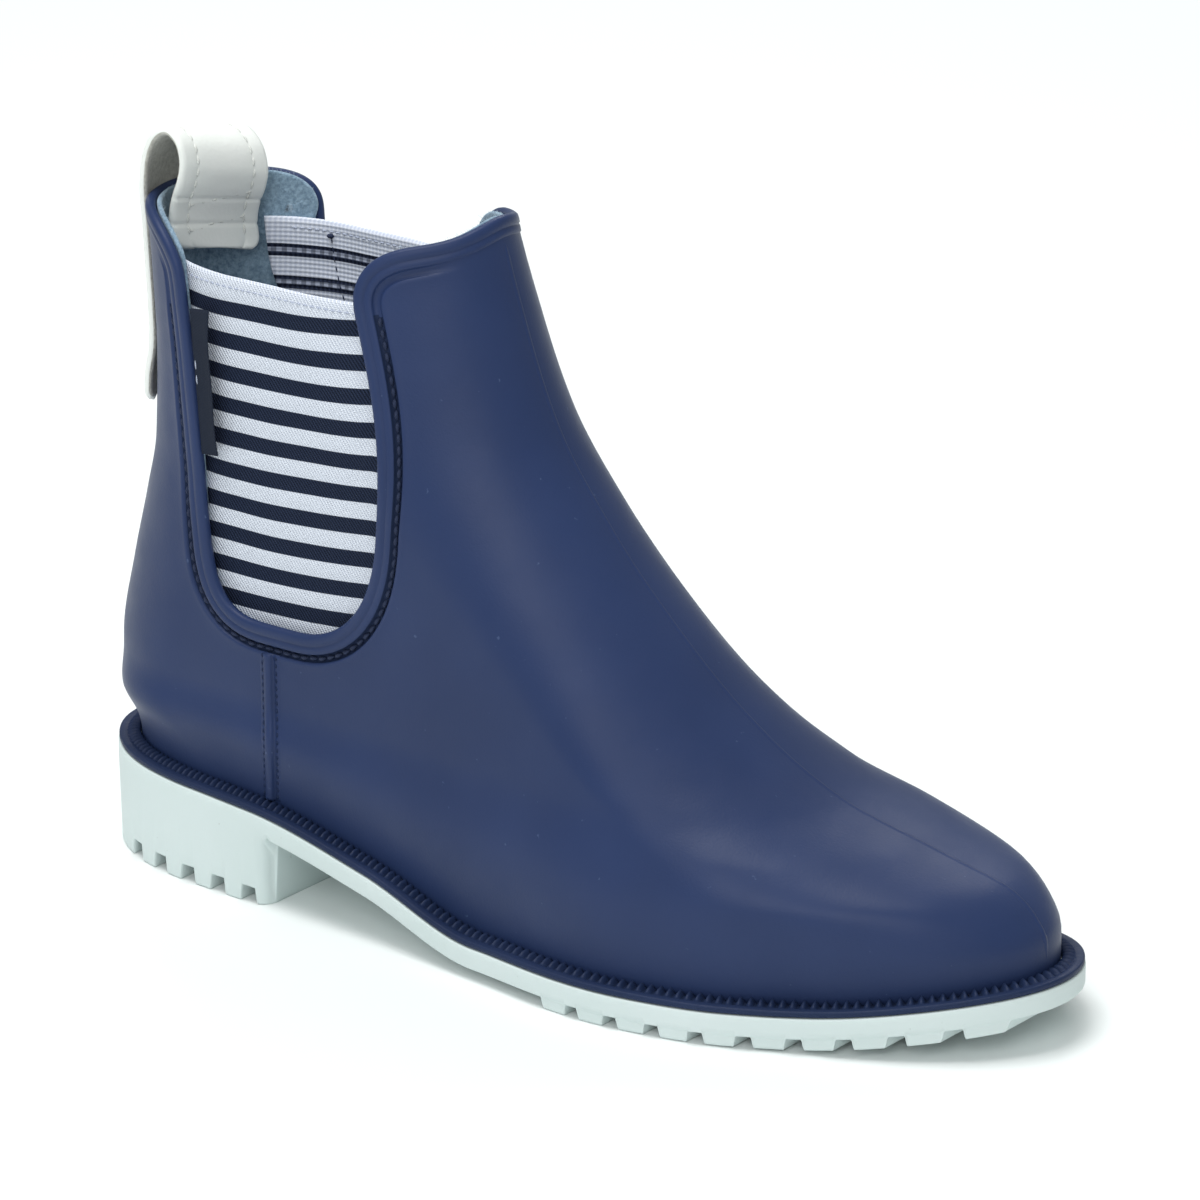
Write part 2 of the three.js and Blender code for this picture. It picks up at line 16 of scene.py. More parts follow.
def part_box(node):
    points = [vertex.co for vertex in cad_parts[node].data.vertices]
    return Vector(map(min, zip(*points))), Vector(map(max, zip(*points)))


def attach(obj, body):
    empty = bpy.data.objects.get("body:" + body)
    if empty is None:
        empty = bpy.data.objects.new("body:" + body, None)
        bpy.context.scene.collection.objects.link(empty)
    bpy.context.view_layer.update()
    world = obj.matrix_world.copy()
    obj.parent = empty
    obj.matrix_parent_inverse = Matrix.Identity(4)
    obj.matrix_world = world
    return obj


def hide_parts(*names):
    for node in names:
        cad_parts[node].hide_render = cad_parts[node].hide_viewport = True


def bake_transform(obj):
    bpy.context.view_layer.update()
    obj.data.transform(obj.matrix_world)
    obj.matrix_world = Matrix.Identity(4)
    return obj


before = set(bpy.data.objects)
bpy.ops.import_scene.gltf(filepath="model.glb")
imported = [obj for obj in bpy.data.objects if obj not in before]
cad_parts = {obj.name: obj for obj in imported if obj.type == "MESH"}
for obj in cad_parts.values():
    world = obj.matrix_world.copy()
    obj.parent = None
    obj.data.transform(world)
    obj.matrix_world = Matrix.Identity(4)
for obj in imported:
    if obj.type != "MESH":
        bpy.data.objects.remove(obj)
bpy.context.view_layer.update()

MM = 0.001
TURN = 2 * math.pi
SOLE_PROUD = 0.2
FOOT_MIDDLE = 2.6933517
SHIFT = np.array([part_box("outsole")[0].x / MM + SOLE_PROUD, -FOOT_MIDDLE, 0.0])
random = np.random.default_rng(7)

# ---- sizes, as in the frame

SOLE_LENGTH = 266.0
BOOT_HEIGHT = 173.5
FOOT_HEIGHT = 80.0
SHAFT_WIDTH = 59.0
SETBACK = 12.8
SHAFT_FRONT = 110.3
SHAFT_MIDDLE = 61.55
COLLAR_BACK = 165.5
TAB_REACH = {-1: 20.0, 1: 26.0}
SHOULDER_DROP = {-1: 4.7, 1: 3.7}
BELLY = 2.2
BELLY_HEIGHT = 46.0
FOLD_HEIGHT = 60.0
SHELL_WALL = 2.2
LINING_WALL = 1.2
GAP = 0.3
OPENING_BOTTOM = 70.5
OPENING_TOP = 154.5
REAR_TOP = 37.05
FRONT_TOP = 88.05
OPENING_LEAN = 9.0
GORE_MARGIN = 9.0
WELT_REACH = 5.6
WELT_THICKNESS = 2.6
PLATE = 5.2
HEEL_HEIGHT = 26.0
HEEL_LENGTH = 65.0
LUG_DEPTH = 4.6
TREAD_DEPTH = 2.8
SOLE_FLAT = PLATE + TREAD_DEPTH
TOE_SPRING = 7.5
TOE_SHIFT = 11.9
FEATHER_BACK = WELT_REACH
FEATHER_FRONT = SOLE_LENGTH - WELT_REACH

# ---- curves


def profile(points):
    """Smooth curve through (place, value) pairs that never overshoots them."""
    places, values = np.array(points, float).T
    slopes = np.diff(values) / np.diff(places)
    tangents = np.zeros(len(values))
    tangents[0], tangents[-1] = slopes[0], slopes[-1]
    for i in range(1, len(values) - 1):
        if slopes[i - 1] * slopes[i] > 0:
            tangents[i] = 2 * slopes[i - 1] * slopes[i] / (slopes[i - 1] + slopes[i])

    def curve(place):
        place = np.clip(np.asarray(place, float), places[0], places[-1])
        i = np.clip(np.searchsorted(places, place) - 1, 0, len(places) - 2)
        span = places[i + 1] - places[i]
        t = (place - places[i]) / span
        rest = 1 - t
        return (
            values[i] * (1 + 2 * t) * rest * rest
            + values[i + 1] * (3 - 2 * t) * t * t
            + span * t * rest * (tangents[i] * rest - tangents[i + 1] * t)
        )

    return curve


def ease(t):
    t = np.clip(t, 0, 1)
    return t * t * (3 - 2 * t)


def end_cap(distance, reach):
    share = np.clip(distance / reach, 0, 1)
    return np.sqrt(np.maximum(1 - (1 - share) ** 2, 0))


sole_top = profile([
    (0, HEEL_HEIGHT), (HEEL_LENGTH - 5, HEEL_HEIGHT - 2.5),
    (HEEL_LENGTH + 0.12 * SOLE_LENGTH, SOLE_FLAT + 0.48 * (HEEL_HEIGHT - SOLE_FLAT)),
    (0.5 * SOLE_LENGTH, SOLE_FLAT), (0.66 * SOLE_LENGTH, SOLE_FLAT),
    (0.8 * SOLE_LENGTH, SOLE_FLAT + 0.5), (SOLE_LENGTH, SOLE_FLAT + TOE_SPRING),
])
vamp_reach = profile([
    (0, 1), (0.021, 1), (0.058, 0.998), (0.106, 0.977), (0.156, 0.934), (0.217, 0.799), (0.273, 0.645),
    (0.372, 0.479), (0.482, 0.345), (0.6, 0.222), (0.72, 0.124), (0.85, 0.062), (1, 0.012), (1.1, 0),
])
back_line = profile([
    (0, FEATHER_BACK), (0.021, FEATHER_BACK), (0.16, 2.4), (0.31, 2.6), (0.43, 6.4), (0.53, 10.5),
    (0.614, 13.4), (0.75, 14.2), (0.87, 13.2), (0.96, SETBACK),
])
back_rounding = profile([(0, 36), (0.21, 27), (0.63, 38), (0.85, 37), (0.96, 31)])
front_rounding = profile([
    (0, 72), (0.116, 66), (0.17, 57), (0.233, 44), (0.3, 36), (0.407, 36.5), (0.58, 42), (0.815, 50),
    (1.06, 64),
])
foot_lateral = profile([
    (0, 25.5), (0.106, 25.5), (0.217, 27.4), (0.367, 30), (0.508, 34.7), (0.658, 40), (0.734, 39.1),
    (0.83, 36.2), (1, 36.2),
])
foot_medial = profile([
    (0, 25.5), (0.106, 23.6), (0.217, 21.7), (0.367, 22.1), (0.478, 25.8), (0.608, 32.3), (0.719, 38.2),
    (0.8, 39.2), (0.9, 37.1), (1, 36.2),
])


def height_share(h):
    upper_part = 0.461 + 0.539 * (h - FOOT_HEIGHT) / (BOOT_HEIGHT - FOOT_HEIGHT)
    return np.where(h < FOOT_HEIGHT, 0.461 * h / FOOT_HEIGHT, upper_part)


def front_line(h):
    return SHAFT_FRONT + (FEATHER_FRONT - SHAFT_FRONT) * vamp_reach(height_share(h))


def toe_shift(x):
    return TOE_SHIFT * ease((x - 0.55 * SOLE_LENGTH) / (0.45 * SOLE_LENGTH))


def belly_at(h):
    share = np.clip((h - GAP - WELT_THICKNESS) / BELLY_HEIGHT, 0, 1)
    return BELLY * np.maximum(np.sin(np.pi * share), 0) ** 1.6


def half_width(x, h, side):
    along = x / SOLE_LENGTH
    foot = np.where(side < 0, foot_lateral(along), foot_medial(along))
    share = height_share(h)
    leg = ease((share - 0.0635) / 0.53)
    width = foot * (1 - leg) + SHAFT_WIDTH / 2 * leg + belly_at(h)
    back = end_cap(x - back_line(share), back_rounding(share))
    return width * back * end_cap(front_line(h) - x, front_rounding(share))


def upper_point(angle, h):
    """Outer surface of the boot: angle 0 at the heel, pi at the toe, outer side first."""
    angle, h = np.broadcast_arrays(np.asarray(angle, float), np.asarray(h, float))
    back = back_line(height_share(h))
    x = back + (front_line(h) - back) * (1 - np.cos(angle)) / 2
    side = np.where(np.sin(angle) >= 0, -1.0, 1.0)
    y = toe_shift(x) + side * half_width(x, h, side)
    return np.stack([x, y, h + sole_top(x) * (1 - ease(h / FOLD_HEIGHT))], -1)


def raised(plan, z):
    """Plan points lifted to a height, one for all or one for each."""
    return np.concatenate([plan, np.broadcast_to(z, len(plan))[:, None]], axis=1)


def unit(vectors):
    return vectors / np.maximum(np.linalg.norm(vectors, axis=-1, keepdims=True), 1e-12)


def wall_normal(angle, h):
    along = upper_point(angle + 0.02, h) - upper_point(angle - 0.02, h)
    up = upper_point(angle, h + 0.5) - upper_point(angle, h - 0.5)
    up = np.where(np.broadcast_to(h, along.shape[:-1])[..., None] > 4, up, np.array([0, 0, 1.0]))
    return unit(np.cross(along, up))


def layer_point(angle, h, depth):
    """The outer surface moved inwards along its normal by a depth."""
    return upper_point(angle, h) - wall_normal(angle, h) * np.asarray(depth, float)[..., None]


def angle_at(x, h, side):
    """Angle of the outer surface at a side-view place."""
    back = back_line(height_share(h))
    share = (x - back) / (front_line(h) - back)
    angle = np.arccos(np.clip(1 - 2 * share, -1, 1))
    return angle if side < 0 else TURN - angle


def ring_plan(angle, reach):
    """Plan outline of the foot at the sole, grown outwards by a reach."""
    return layer_point(angle, 0.0, -reach)[..., :2]


def bezier(a, b, c, d, count):
    t = np.linspace(0, 1, count + 1)[1:, None]
    a, b, c, d = (np.array(p, float) for p in (a, b, c, d))
    return a * (1 - t) ** 3 + 3 * b * t * (1 - t) ** 2 + 3 * c * t * t * (1 - t) + d * t**3


def line(a, b, count):
    t = np.linspace(0, 1, count + 1)[1:, None]
    return np.array(a, float) * (1 - t) + np.array(b, float) * t


def opening_path(grow):
    """Gore opening in side view (x, z), grown by `grow`, from its rear top to its front top."""
    bottom = OPENING_BOTTOM - grow
    rear = REAR_TOP + OPENING_LEAN - grow
    front = FRONT_TOP + OPENING_LEAN + grow
    bulge = bottom + 32 + grow / 2
    rise = OPENING_TOP - bulge
    low_rear = (rear + 15 + grow / 2, bottom)
    low_front = (front - 22 - grow / 2, bottom)
    start = (REAR_TOP - grow, OPENING_TOP)
    corner = (rear, bottom + 19 + grow / 2)
    front_top = (FRONT_TOP + grow, OPENING_TOP)
    return np.concatenate([
        [start],
        line(start, corner, 120),
        bezier(corner, (rear + 1, bottom + 4), (rear + 5, bottom), low_rear, 60),
        line(low_rear, low_front, 40),
        bezier(low_front, (front - 8, bottom + 2), (front, bottom + 14), (front, bulge), 80),
        bezier((front, bulge), (front + 2, bulge + 0.3 * rise), (front - 2, bulge + 0.58 * rise),
               front_top, 100),
    ])


def run_along(path):
    """Length walked at each point of a path."""
    return np.concatenate([[0], np.cumsum(np.linalg.norm(np.diff(path, axis=0), axis=1))])


def sample(places, run, points):
    """Points of a path of any dimension at the places along its run."""
    return np.stack([np.interp(places, run, column) for column in points.T], -1)


def rolled(values, count):
    return np.roll(values, count, axis=0)


def soften(values, rounds):
    for _ in range(rounds):
        values = (rolled(values, 1) + 2 * values + rolled(values, -1)) / 4
    return values


# ---- collar edge

EDGE_POINTS = 800
EVEN_TURN = np.stack([TURN * np.arange(EDGE_POINTS) / EDGE_POINTS, np.zeros(EDGE_POINTS)], -1)


def soften_round(edge, rounds):
    """Eases a closed run of (angle, height) pairs whose angles grow by a whole turn."""
    edge = soften(edge - EVEN_TURN, rounds) + EVEN_TURN
    edge[0, 0] = 0
    return edge


def collar_side(side):
    """Collar and opening edge of one side as (angle, height) pairs from the heel to the front."""
    tab = SETBACK + TAB_REACH[side]
    back_x = float(back_line(height_share(COLLAR_BACK)))
    shoulder = BOOT_HEIGHT - SHOULDER_DROP[side]
    path = np.concatenate([
        line((back_x, COLLAR_BACK), (SETBACK + 4, COLLAR_BACK), 60),
        bezier((SETBACK + 4, COLLAR_BACK), (tab - 8, COLLAR_BACK), (tab - 1, COLLAR_BACK - 3),
               (REAR_TOP, OPENING_TOP), 60),
        opening_path(0)[1:],
        bezier((FRONT_TOP, OPENING_TOP), (FRONT_TOP - 0.6, OPENING_TOP + 8), (FRONT_TOP + 4, shoulder - 1.5),
               (FRONT_TOP + 13, shoulder), 200),
        bezier((FRONT_TOP + 13, shoulder), (FRONT_TOP + 18, shoulder + 0.9),
               (SHAFT_FRONT - 0.5, shoulder + 1.9), (SHAFT_FRONT + 2.1, BOOT_HEIGHT + 0.8), 200),
    ])
    inside = path[:, 0] < front_line(path[:, 1]) - 1e-3
    path = path[: np.argmin(inside)] if not inside.all() else path
    path = np.concatenate([[(back_x, COLLAR_BACK)], path])
    angles = angle_at(path[:, 0], path[:, 1], -1)
    return np.stack([angles, path[:, 1]], -1)


def collar_edge():
    """Closed collar edge, evenly spaced, with its corners eased; its first point is at the heel."""
    outer, inner = collar_side(-1), collar_side(1)
    top = [[math.pi, (outer[-1, 1] + inner[-1, 1]) / 2]]
    inner = np.stack([TURN - inner[:, 0], inner[:, 1]], -1)[::-1][:-1]
    edge = np.concatenate([outer, top, inner])
    places = upper_point(*edge.T)
    run = run_along(np.concatenate([places, places[:1]]))
    closed = np.concatenate([edge, [[TURN, edge[0, 1]]]])
    edge = sample(np.linspace(0, run[-1], EDGE_POINTS + 1)[:-1], run, closed)
    return soften_round(edge, 14)


def inward_at(curve):
    """Direction along the surface from the collar edge into the material."""
    place = upper_point(*curve.T)
    tangent = soften(rolled(place, -1) - rolled(place, 1), 6)
    return unit(np.cross(tangent, wall_normal(*curve.T)))


MARCH = 0.5
MARCH_ROWS = 24


def march_down():
    """Curves on the surface at growing distances below the collar edge, into the material."""
    rows = [collar_edge()]
    step = 1e-3
    for _ in range(MARCH_ROWS):
        a, h = rows[-1].T
        inward = inward_at(rows[-1])
        by_angle = (upper_point(a + step, h) - upper_point(a - step, h)) / (2 * step)
        by_height = (upper_point(a, h + step) - upper_point(a, h - step)) / (2 * step)
        aa = (by_angle**2).sum(-1)
        ah = (by_angle * by_height).sum(-1)
        hh = (by_height**2).sum(-1)
        ra = (by_angle * inward).sum(-1) * MARCH
        rh = (by_height * inward).sum(-1) * MARCH
        det = aa * hh - ah * ah
        moved = np.stack([a + (ra * hh - rh * ah) / det, h + (rh * aa - ra * ah) / det], -1)
        rows.append(soften_round(moved, 1))
    return np.array(rows)


EDGE = march_down()


def below_edge(distance):
    """(angle, height) pairs of the curve at a distance (one, or one a point) below the collar edge."""
    place = np.broadcast_to(np.asarray(distance, float) / MARCH, EDGE_POINTS)
    low = np.clip(np.floor(place).astype(int), 0, MARCH_ROWS - 1)
    part = (place - low)[:, None]
    points = np.arange(EDGE_POINTS)
    return EDGE[low, points] * (1 - part) + EDGE[low + 1, points] * part


# ---- mesh making


class Shape:
    """Points and faces gathered before they become a mesh."""

    def __init__(self):
        self.points, self.faces, self.marks, self.count = [], [], [], 0

    def add(self, points):
        points = np.asarray(points, float).reshape(-1, 3)
        self.points.append(points)
        self.count += len(points)
        return self.count - len(points)

    def face(self, faces, mark=0):
        faces = np.asarray(faces).tolist()
        self.faces.extend(faces)
        self.marks.extend(np.broadcast_to(mark, len(faces)).tolist())

    def grid(self, rows, closed=False, looped=False, mark=0):
        """Faces over rows of points; closed joins each row's ends, looped the last row to the first."""
        rows = np.asarray(rows, float)
        high, wide = rows.shape[:2]
        start = self.add(rows)
        index = start + np.arange(high * wide).reshape(high, wide)
        if closed:
            index = np.concatenate([index, index[:, :1]], axis=1)
        if looped:
            index = np.concatenate([index, index[:1]], axis=0)
        quads = np.stack([index[:-1, :-1], index[:-1, 1:], index[1:, 1:], index[1:, :-1]], -1).reshape(-1, 4)
        self.face(quads, mark)
        return start + np.arange(high * wide).reshape(high, wide)

    def cap(self, index, mark=0):
        """Closes a ring straight across, from each point to the one opposite."""
        count = len(index)
        half = count // 2
        left = index[: half + 1]
        right = index[(count - np.arange(half + 1)) % count]
        self.face(np.stack([left[:-1], left[1:], right[1:], right[:-1]], -1), mark)


def make_piece(name, shape, materials, weld=2e-6):
    """A mesh object in metres in the frame's axes, with clean, outward-facing faces."""
    points = (np.concatenate(shape.points) + SHIFT) * MM
    mesh = bpy.data.meshes.new(name)
    mesh.from_pydata(points.tolist(), [], shape.faces)
    for look in materials:
        mesh.materials.append(look)
    mesh.polygons.foreach_set("material_index", shape.marks)
    work = bmesh.new()
    work.from_mesh(mesh)
    if weld:
        bmesh.ops.remove_doubles(work, verts=work.verts, dist=weld)
        bmesh.ops.dissolve_degenerate(work, edges=work.edges, dist=weld)
    bmesh.ops.recalc_face_normals(work, faces=work.faces)
    for face in work.faces:
        face.smooth = True
    work.to_mesh(mesh)
    work.free()
    piece = bpy.data.objects.new(name, mesh)
    bpy.context.scene.collection.objects.link(piece)
    return piece


def settle(piece, body, slot, *nodes):
    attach(piece, body)
    if nodes:
        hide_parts(*nodes)
    return piece


DOME = 0.4


def tube(shape, path, radius, up, sides=6):
    """Round bar with domed ends along a path; radius may vary along it."""
    path = np.asarray(path, float)
    radius = np.broadcast_to(radius, len(path))
    tangent = unit(np.gradient(path, axis=0))
    across = unit(np.cross(tangent, np.broadcast_to(up, tangent.shape)))
    over = np.cross(across, tangent)
    angle = (TURN * np.arange(sides) / sides)[None, :, None]
    circle = across[:, None] * np.cos(angle) + over[:, None] * np.sin(angle)
    index = shape.grid(path[:, None] + circle * radius[:, None, None], closed=True)
    for end, way in ((0, -1), (-1, 1)):
        ring = index[end]
        centre = shape.add(path[end] + way * tangent[end] * radius[end] * DOME)
        shape.face(np.stack([ring, rolled(ring, -1), np.full(sides, centre)], -1))


STITCH_SHAPE = np.array([0.45, 0.85, 1.0, 0.85, 0.45])
STITCH_SINK = 1.4


def stitches(shape, path, ups, length, gap, radius):
    """A row of short thread bars laid along a path, each sinking at its ends."""
    run = run_along(path)
    count = max(int(run[-1] / (length + gap)), 1)
    pitch = run[-1] / count
    for k in range(count):
        places = k * pitch + gap / 2 + np.linspace(0, pitch - gap, len(STITCH_SHAPE))
        points = sample(places, run, path)
        up = unit(sample(places[2], run, ups))
        points += up * (STITCH_SHAPE[:, None] - 1) * radius * STITCH_SINK
        tube(shape, points, radius * STITCH_SHAPE, up)


# ---- walls of the upper

PATCH_SCALE = 45.0
GROOVE_FLOOR = -0.3
CLEAN_LINE_HEIGHT = 152.0


def inside_polygon(points, polygon):
    x, y = points[:, 0][:, None], points[:, 1][:, None]
    x0, y0 = polygon.T
    x1, y1 = rolled(polygon, -1).T
    crosses = (y0 > y) != (y1 > y)
    with np.errstate(divide="ignore", invalid="ignore"):
        at = x0 + (y - y0) * (x1 - x0) / (y1 - y0)
    return (crosses & (x < at)).sum(1) % 2 == 1


def patch(curve, ring_height, columns, spacing):
    """Triangles over the surface between a curve and a level ring: (angle, height) pairs and faces."""
    seam = np.arange(ring_height, curve[0, 1], spacing)[1:]
    seam = seam[seam < curve[0, 1] - spacing / 2]
    ring = np.linspace(TURN, 0, columns + 1)
    border = np.concatenate([
        curve,
        [[TURN, curve[0, 1]]],
        np.stack([np.full(len(seam), TURN), seam[::-1]], -1),
        np.stack([ring, np.full(len(ring), ring_height)], -1),
        np.stack([np.zeros(len(seam)), seam], -1),
    ])
    flat = border * [PATCH_SCALE, 1]
    xs = np.arange(spacing, TURN * PATCH_SCALE, spacing)
    ys = np.arange(ring_height + spacing, curve[:, 1].max(), spacing)
    inner = np.stack(np.meshgrid(xs, ys), -1).reshape(-1, 2)
    inner[:, 0] += (np.round((inner[:, 1] - ring_height) / spacing) % 2) * spacing / 2
    inner = inner[inside_polygon(inner, flat)]
    near = np.concatenate([
        ((part[:, None, :] - flat[None]) ** 2).sum(-1).min(1) for part in np.array_split(inner, 20)
    ])
    inner = inner[near > (0.6 * spacing) ** 2]
    points = np.concatenate([flat, inner])
    result = delaunay_2d_cdt([Vector(p) for p in points], [], [list(range(len(flat)))], 1, 1e-4)
    pairs = np.array([tuple(v) for v in result[0]])
    for place, sources in enumerate(result[3]):
        if sources:
            pairs[place] = points[sources[0]]
    return pairs / [PATCH_SCALE, 1], [list(f) for f in result[2]]


def on_clean_line(curve):
    """Where the line round the opening runs on to the collar with no painted groove shade and no thread."""
    return (curve[:, 1] > CLEAN_LINE_HEIGHT) & (upper_point(*curve.T)[:, 0] > SHAFT_MIDDLE)


def wall(outer, inner, start, relief, columns, patch_spacing, row_length, bottom, edge_drop=0.0):
    """A closed wall of the upper between two depths, with a round edge at the collar.

    relief gives (distance below the edge, height, fading) rows of the outer face; bottom and start
    are the lowest heights of the outer and inner faces. Also gives the lowest ring of each face.
    """
    shape = Shape()
    radius = (inner - outer) / 2
    last = relief[-1][0]
    rows = []
    for distance, height, fading in reversed(relief):
        curve = below_edge(distance + edge_drop)
        lift = height * (fading(curve) if fading else 1.0)
        rows.append(layer_point(*curve.T, outer - lift))
    curve = below_edge(radius + edge_drop)
    base, normal, inward = upper_point(*curve.T), wall_normal(*curve.T), inward_at(curve)
    for turn in np.linspace(0, math.pi, 9):
        lift = relief[0][1] * (1 + math.cos(turn)) / 2
        depth = outer + radius - radius * math.cos(turn) - lift
        rows.append(base - normal * depth - inward * radius * math.sin(turn))
    for distance in (1.6, 3.2, 5.6, last):
        rows.append(layer_point(*below_edge(distance + edge_drop).T, inner))
    # Rows sunk below GROOVE_FLOOR take the second material, the darker groove copy of the navy: painted shade in
    # the groove.
    marks = np.zeros((len(rows) - 1, EDGE_POINTS), int)
    for row, (distance, height, fading) in enumerate(reversed(relief[1:])):
        if height < GROOVE_FLOOR:
            curve = below_edge(distance)
            marks[row] = (fading(curve) > 0.5) & ~on_clean_line(curve)
    shape.grid(rows, closed=True, mark=marks.ravel())

    curve = below_edge(last + edge_drop)
    ring_height = math.floor(curve[:, 1].min() - 3)
    pairs, triangles = patch(curve, ring_height, columns, patch_spacing)
    for depth in (outer, inner):
        begin = shape.add(layer_point(*pairs.T, depth))
        shape.face(np.array(triangles) + begin)

    heights = np.linspace(bottom, ring_height, 400)
    run = run_along(upper_point(math.pi, heights))
    levels = np.interp(np.linspace(0, run[-1], int(run[-1] / row_length)), run, heights)
    angles = TURN * np.arange(columns) / columns
    ends = []
    for depth, low in ((outer, bottom), (inner, start)):
        kept = np.concatenate([[low], levels[levels > low + 0.4]])
        grid_angles, grid_levels = np.meshgrid(angles, kept)
        ends.append(shape.grid(layer_point(grid_angles, grid_levels, depth), closed=True)[0])
    return shape, ends


def navy_fading(curve):
    """How strongly the sewn groove shows: not round the back of the heel tab nor at the front ridge."""
    x = upper_point(*curve.T)[:, 0]
    low = ease((OPENING_TOP - 6 - curve[:, 1]) / 8)
    top = ease((x - 27) / 9) * ease((110.5 - x) / 10) * 0.75
    return np.maximum(top, low)


# ---- materials


def node(tree, kind, inputs=None, **settings):
    made = tree.nodes.new(kind)
    for key, value in settings.items():
        setattr(made, key, value)
    for key, value in (inputs or {}).items():
        if isinstance(value, bpy.types.NodeSocket):
            tree.links.new(value, made.inputs[key])
        else:
            made.inputs[key].default_value = value
    return made


def place_of(tree):
    coordinates = node(tree, "ShaderNodeTexCoord")
    return node(tree, "ShaderNodeMapping", {"Vector": coordinates.outputs["Object"]}).outputs["Vector"]


def axes_of(tree):
    return node(tree, "ShaderNodeSeparateXYZ", {"Vector": place_of(tree)}).outputs


def noise(tree, scale, detail=3.0, roughness=0.5):
    inputs = {"Vector": place_of(tree), "Scale": scale, "Detail": detail, "Roughness": roughness}
    return node(tree, "ShaderNodeTexNoise", inputs).outputs["Fac"]


def wave(tree, scale, distortion, direction, detail=2.0):
    inputs = {"Scale": scale, "Distortion": distortion, "Detail": detail, "Vector": place_of(tree)}
    return node(tree, "ShaderNodeTexWave", inputs, bands_direction=direction).outputs["Fac"]


def cells(tree, scale):
    return node(tree, "ShaderNodeTexVoronoi", {"Scale": scale, "Vector": place_of(tree)}).outputs["Distance"]


def math_node(tree, operation, a, b=0.0):
    return node(tree, "ShaderNodeMath", {0: a, 1: b}, operation=operation).outputs[0]


def times(tree, a, b):
    return math_node(tree, "MULTIPLY", a, b)


def plus(tree, a, b):
    return math_node(tree, "ADD", a, b)


def sine(tree, a):
    return math_node(tree, "SINE", a)


def span(tree, value, low, high, to_low=0.0, to_high=1.0):
    return node(tree, "ShaderNodeMapRange", {
        "Value": value, "From Min": low, "From Max": high, "To Min": to_low, "To Max": to_high,
    }).outputs["Result"]


def mottle(tree, scale, detail, to_low=0.0, to_high=1.0, roughness=0.5):
    """Soft cloudy variation between two values."""
    return span(tree, noise(tree, scale, detail, roughness), 0.3, 0.7, to_low, to_high)


def mix(tree, factor, a, b):
    made = node(tree, "ShaderNodeMix", {"Factor": factor}, data_type="RGBA")
    for key, value in ((6, a), (7, b)):
        if isinstance(value, bpy.types.NodeSocket):
            tree.links.new(value, made.inputs[key])
        else:
            made.inputs[key].default_value = (*value, 1)
    return made.outputs[2]


def bump(tree, height, strength, distance, normal=None):
    inputs = {"Height": height, "Strength": strength, "Distance": distance}
    if normal:
        inputs["Normal"] = normal
    return node(tree, "ShaderNodeBump", inputs).outputs["Normal"]


def look(name, colour, roughness, normal, **fixed):
    """A material whose colour, roughness and normal come from functions of its node tree."""
    made = bpy.data.materials.new(name)
    made.use_nodes = True
    tree = made.node_tree
    shader = tree.nodes["Principled BSDF"]
    for key, maker in (("Base Color", colour), ("Roughness", roughness), ("Normal", normal)):
        value = maker(tree) if callable(maker) else maker
        if isinstance(value, bpy.types.NodeSocket):
            tree.links.new(value, shader.inputs[key])
        elif value is not None:
            shader.inputs[key].default_value = (*value, 1) if key == "Base Color" else value
    for key, value in fixed.items():
        shader.inputs[key.replace("_", " ")].default_value = value
    return made


def pvc_colour(dark, light, speck):
    def colour(tree):
        cloud = mottle(tree, 22, 2)
        dust = span(tree, noise(tree, 420, 2, 0.6), 0.735, 0.78)
        return mix(tree, times(tree, dust, 0.5), mix(tree, cloud, dark, light), speck)
    return colour


def pvc_normal(strength):
    def normal(tree):
        grain = noise(tree, 1400, 4, 0.6)
        sway = noise(tree, 60, 2)
        return bump(tree, sway, 0.12, 0.002, bump(tree, grain, strength, 0.0002))
    return normal


navy_look = look(
    "navy_pvc", pvc_colour((0.017, 0.032, 0.094), (0.022, 0.040, 0.114), (0.08, 0.12, 0.23)),
    lambda t: mottle(t, 120, 4, 0.38, 0.45), pvc_normal(0.22), Specular_IOR_Level=0.22,
)
# Darker copy of the navy PVC: painted shade, for the sunk groove round the opening and the hollows between the
# welt's ribs.
groove_shade_look = look(
    "navy_groove_painted_shade", pvc_colour((0.008, 0.015, 0.042), (0.014, 0.025, 0.064), (0.05, 0.07, 0.14)),
    0.7, pvc_normal(0.5), Specular_IOR_Level=0.15,
)
# Darker copy of the navy PVC: painted shade, for the whole welt and the side seams' stitches.
seam_shade_look = look(
    "navy_seam_painted_shade", pvc_colour((0.010, 0.020, 0.058), (0.016, 0.029, 0.078), (0.07, 0.10, 0.2)),
    lambda t: mottle(t, 300, 3, 0.45, 0.6), pvc_normal(0.4), Specular_IOR_Level=0.18,
)
sole_look = look(
    "white_sole_compound", pvc_colour((0.61, 0.705, 0.695), (0.66, 0.745, 0.74), (0.47, 0.53, 0.51)),
    lambda t: mottle(t, 90, 4, 0.45, 0.58), pvc_normal(0.16), Specular_IOR_Level=0.3,
)


def thread_look(name, colour):
    def shade(tree):
        return mix(tree, wave(tree, 900, 2, "DIAGONAL"), [c * 0.8 for c in colour], colour)

    def normal(tree):
        return bump(tree, wave(tree, 900, 1, "DIAGONAL"), 0.5, 0.0002)

    return look(name, shade, lambda t: mottle(t, 900, 2, 0.6, 0.8), normal, Specular_IOR_Level=0.3)


navy_thread = thread_look("navy_thread", (0.018, 0.029, 0.072))
white_thread = thread_look("white_thread", (0.86, 0.88, 0.84))
hem_thread = thread_look("hem_thread", (0.50, 0.55, 0.68))


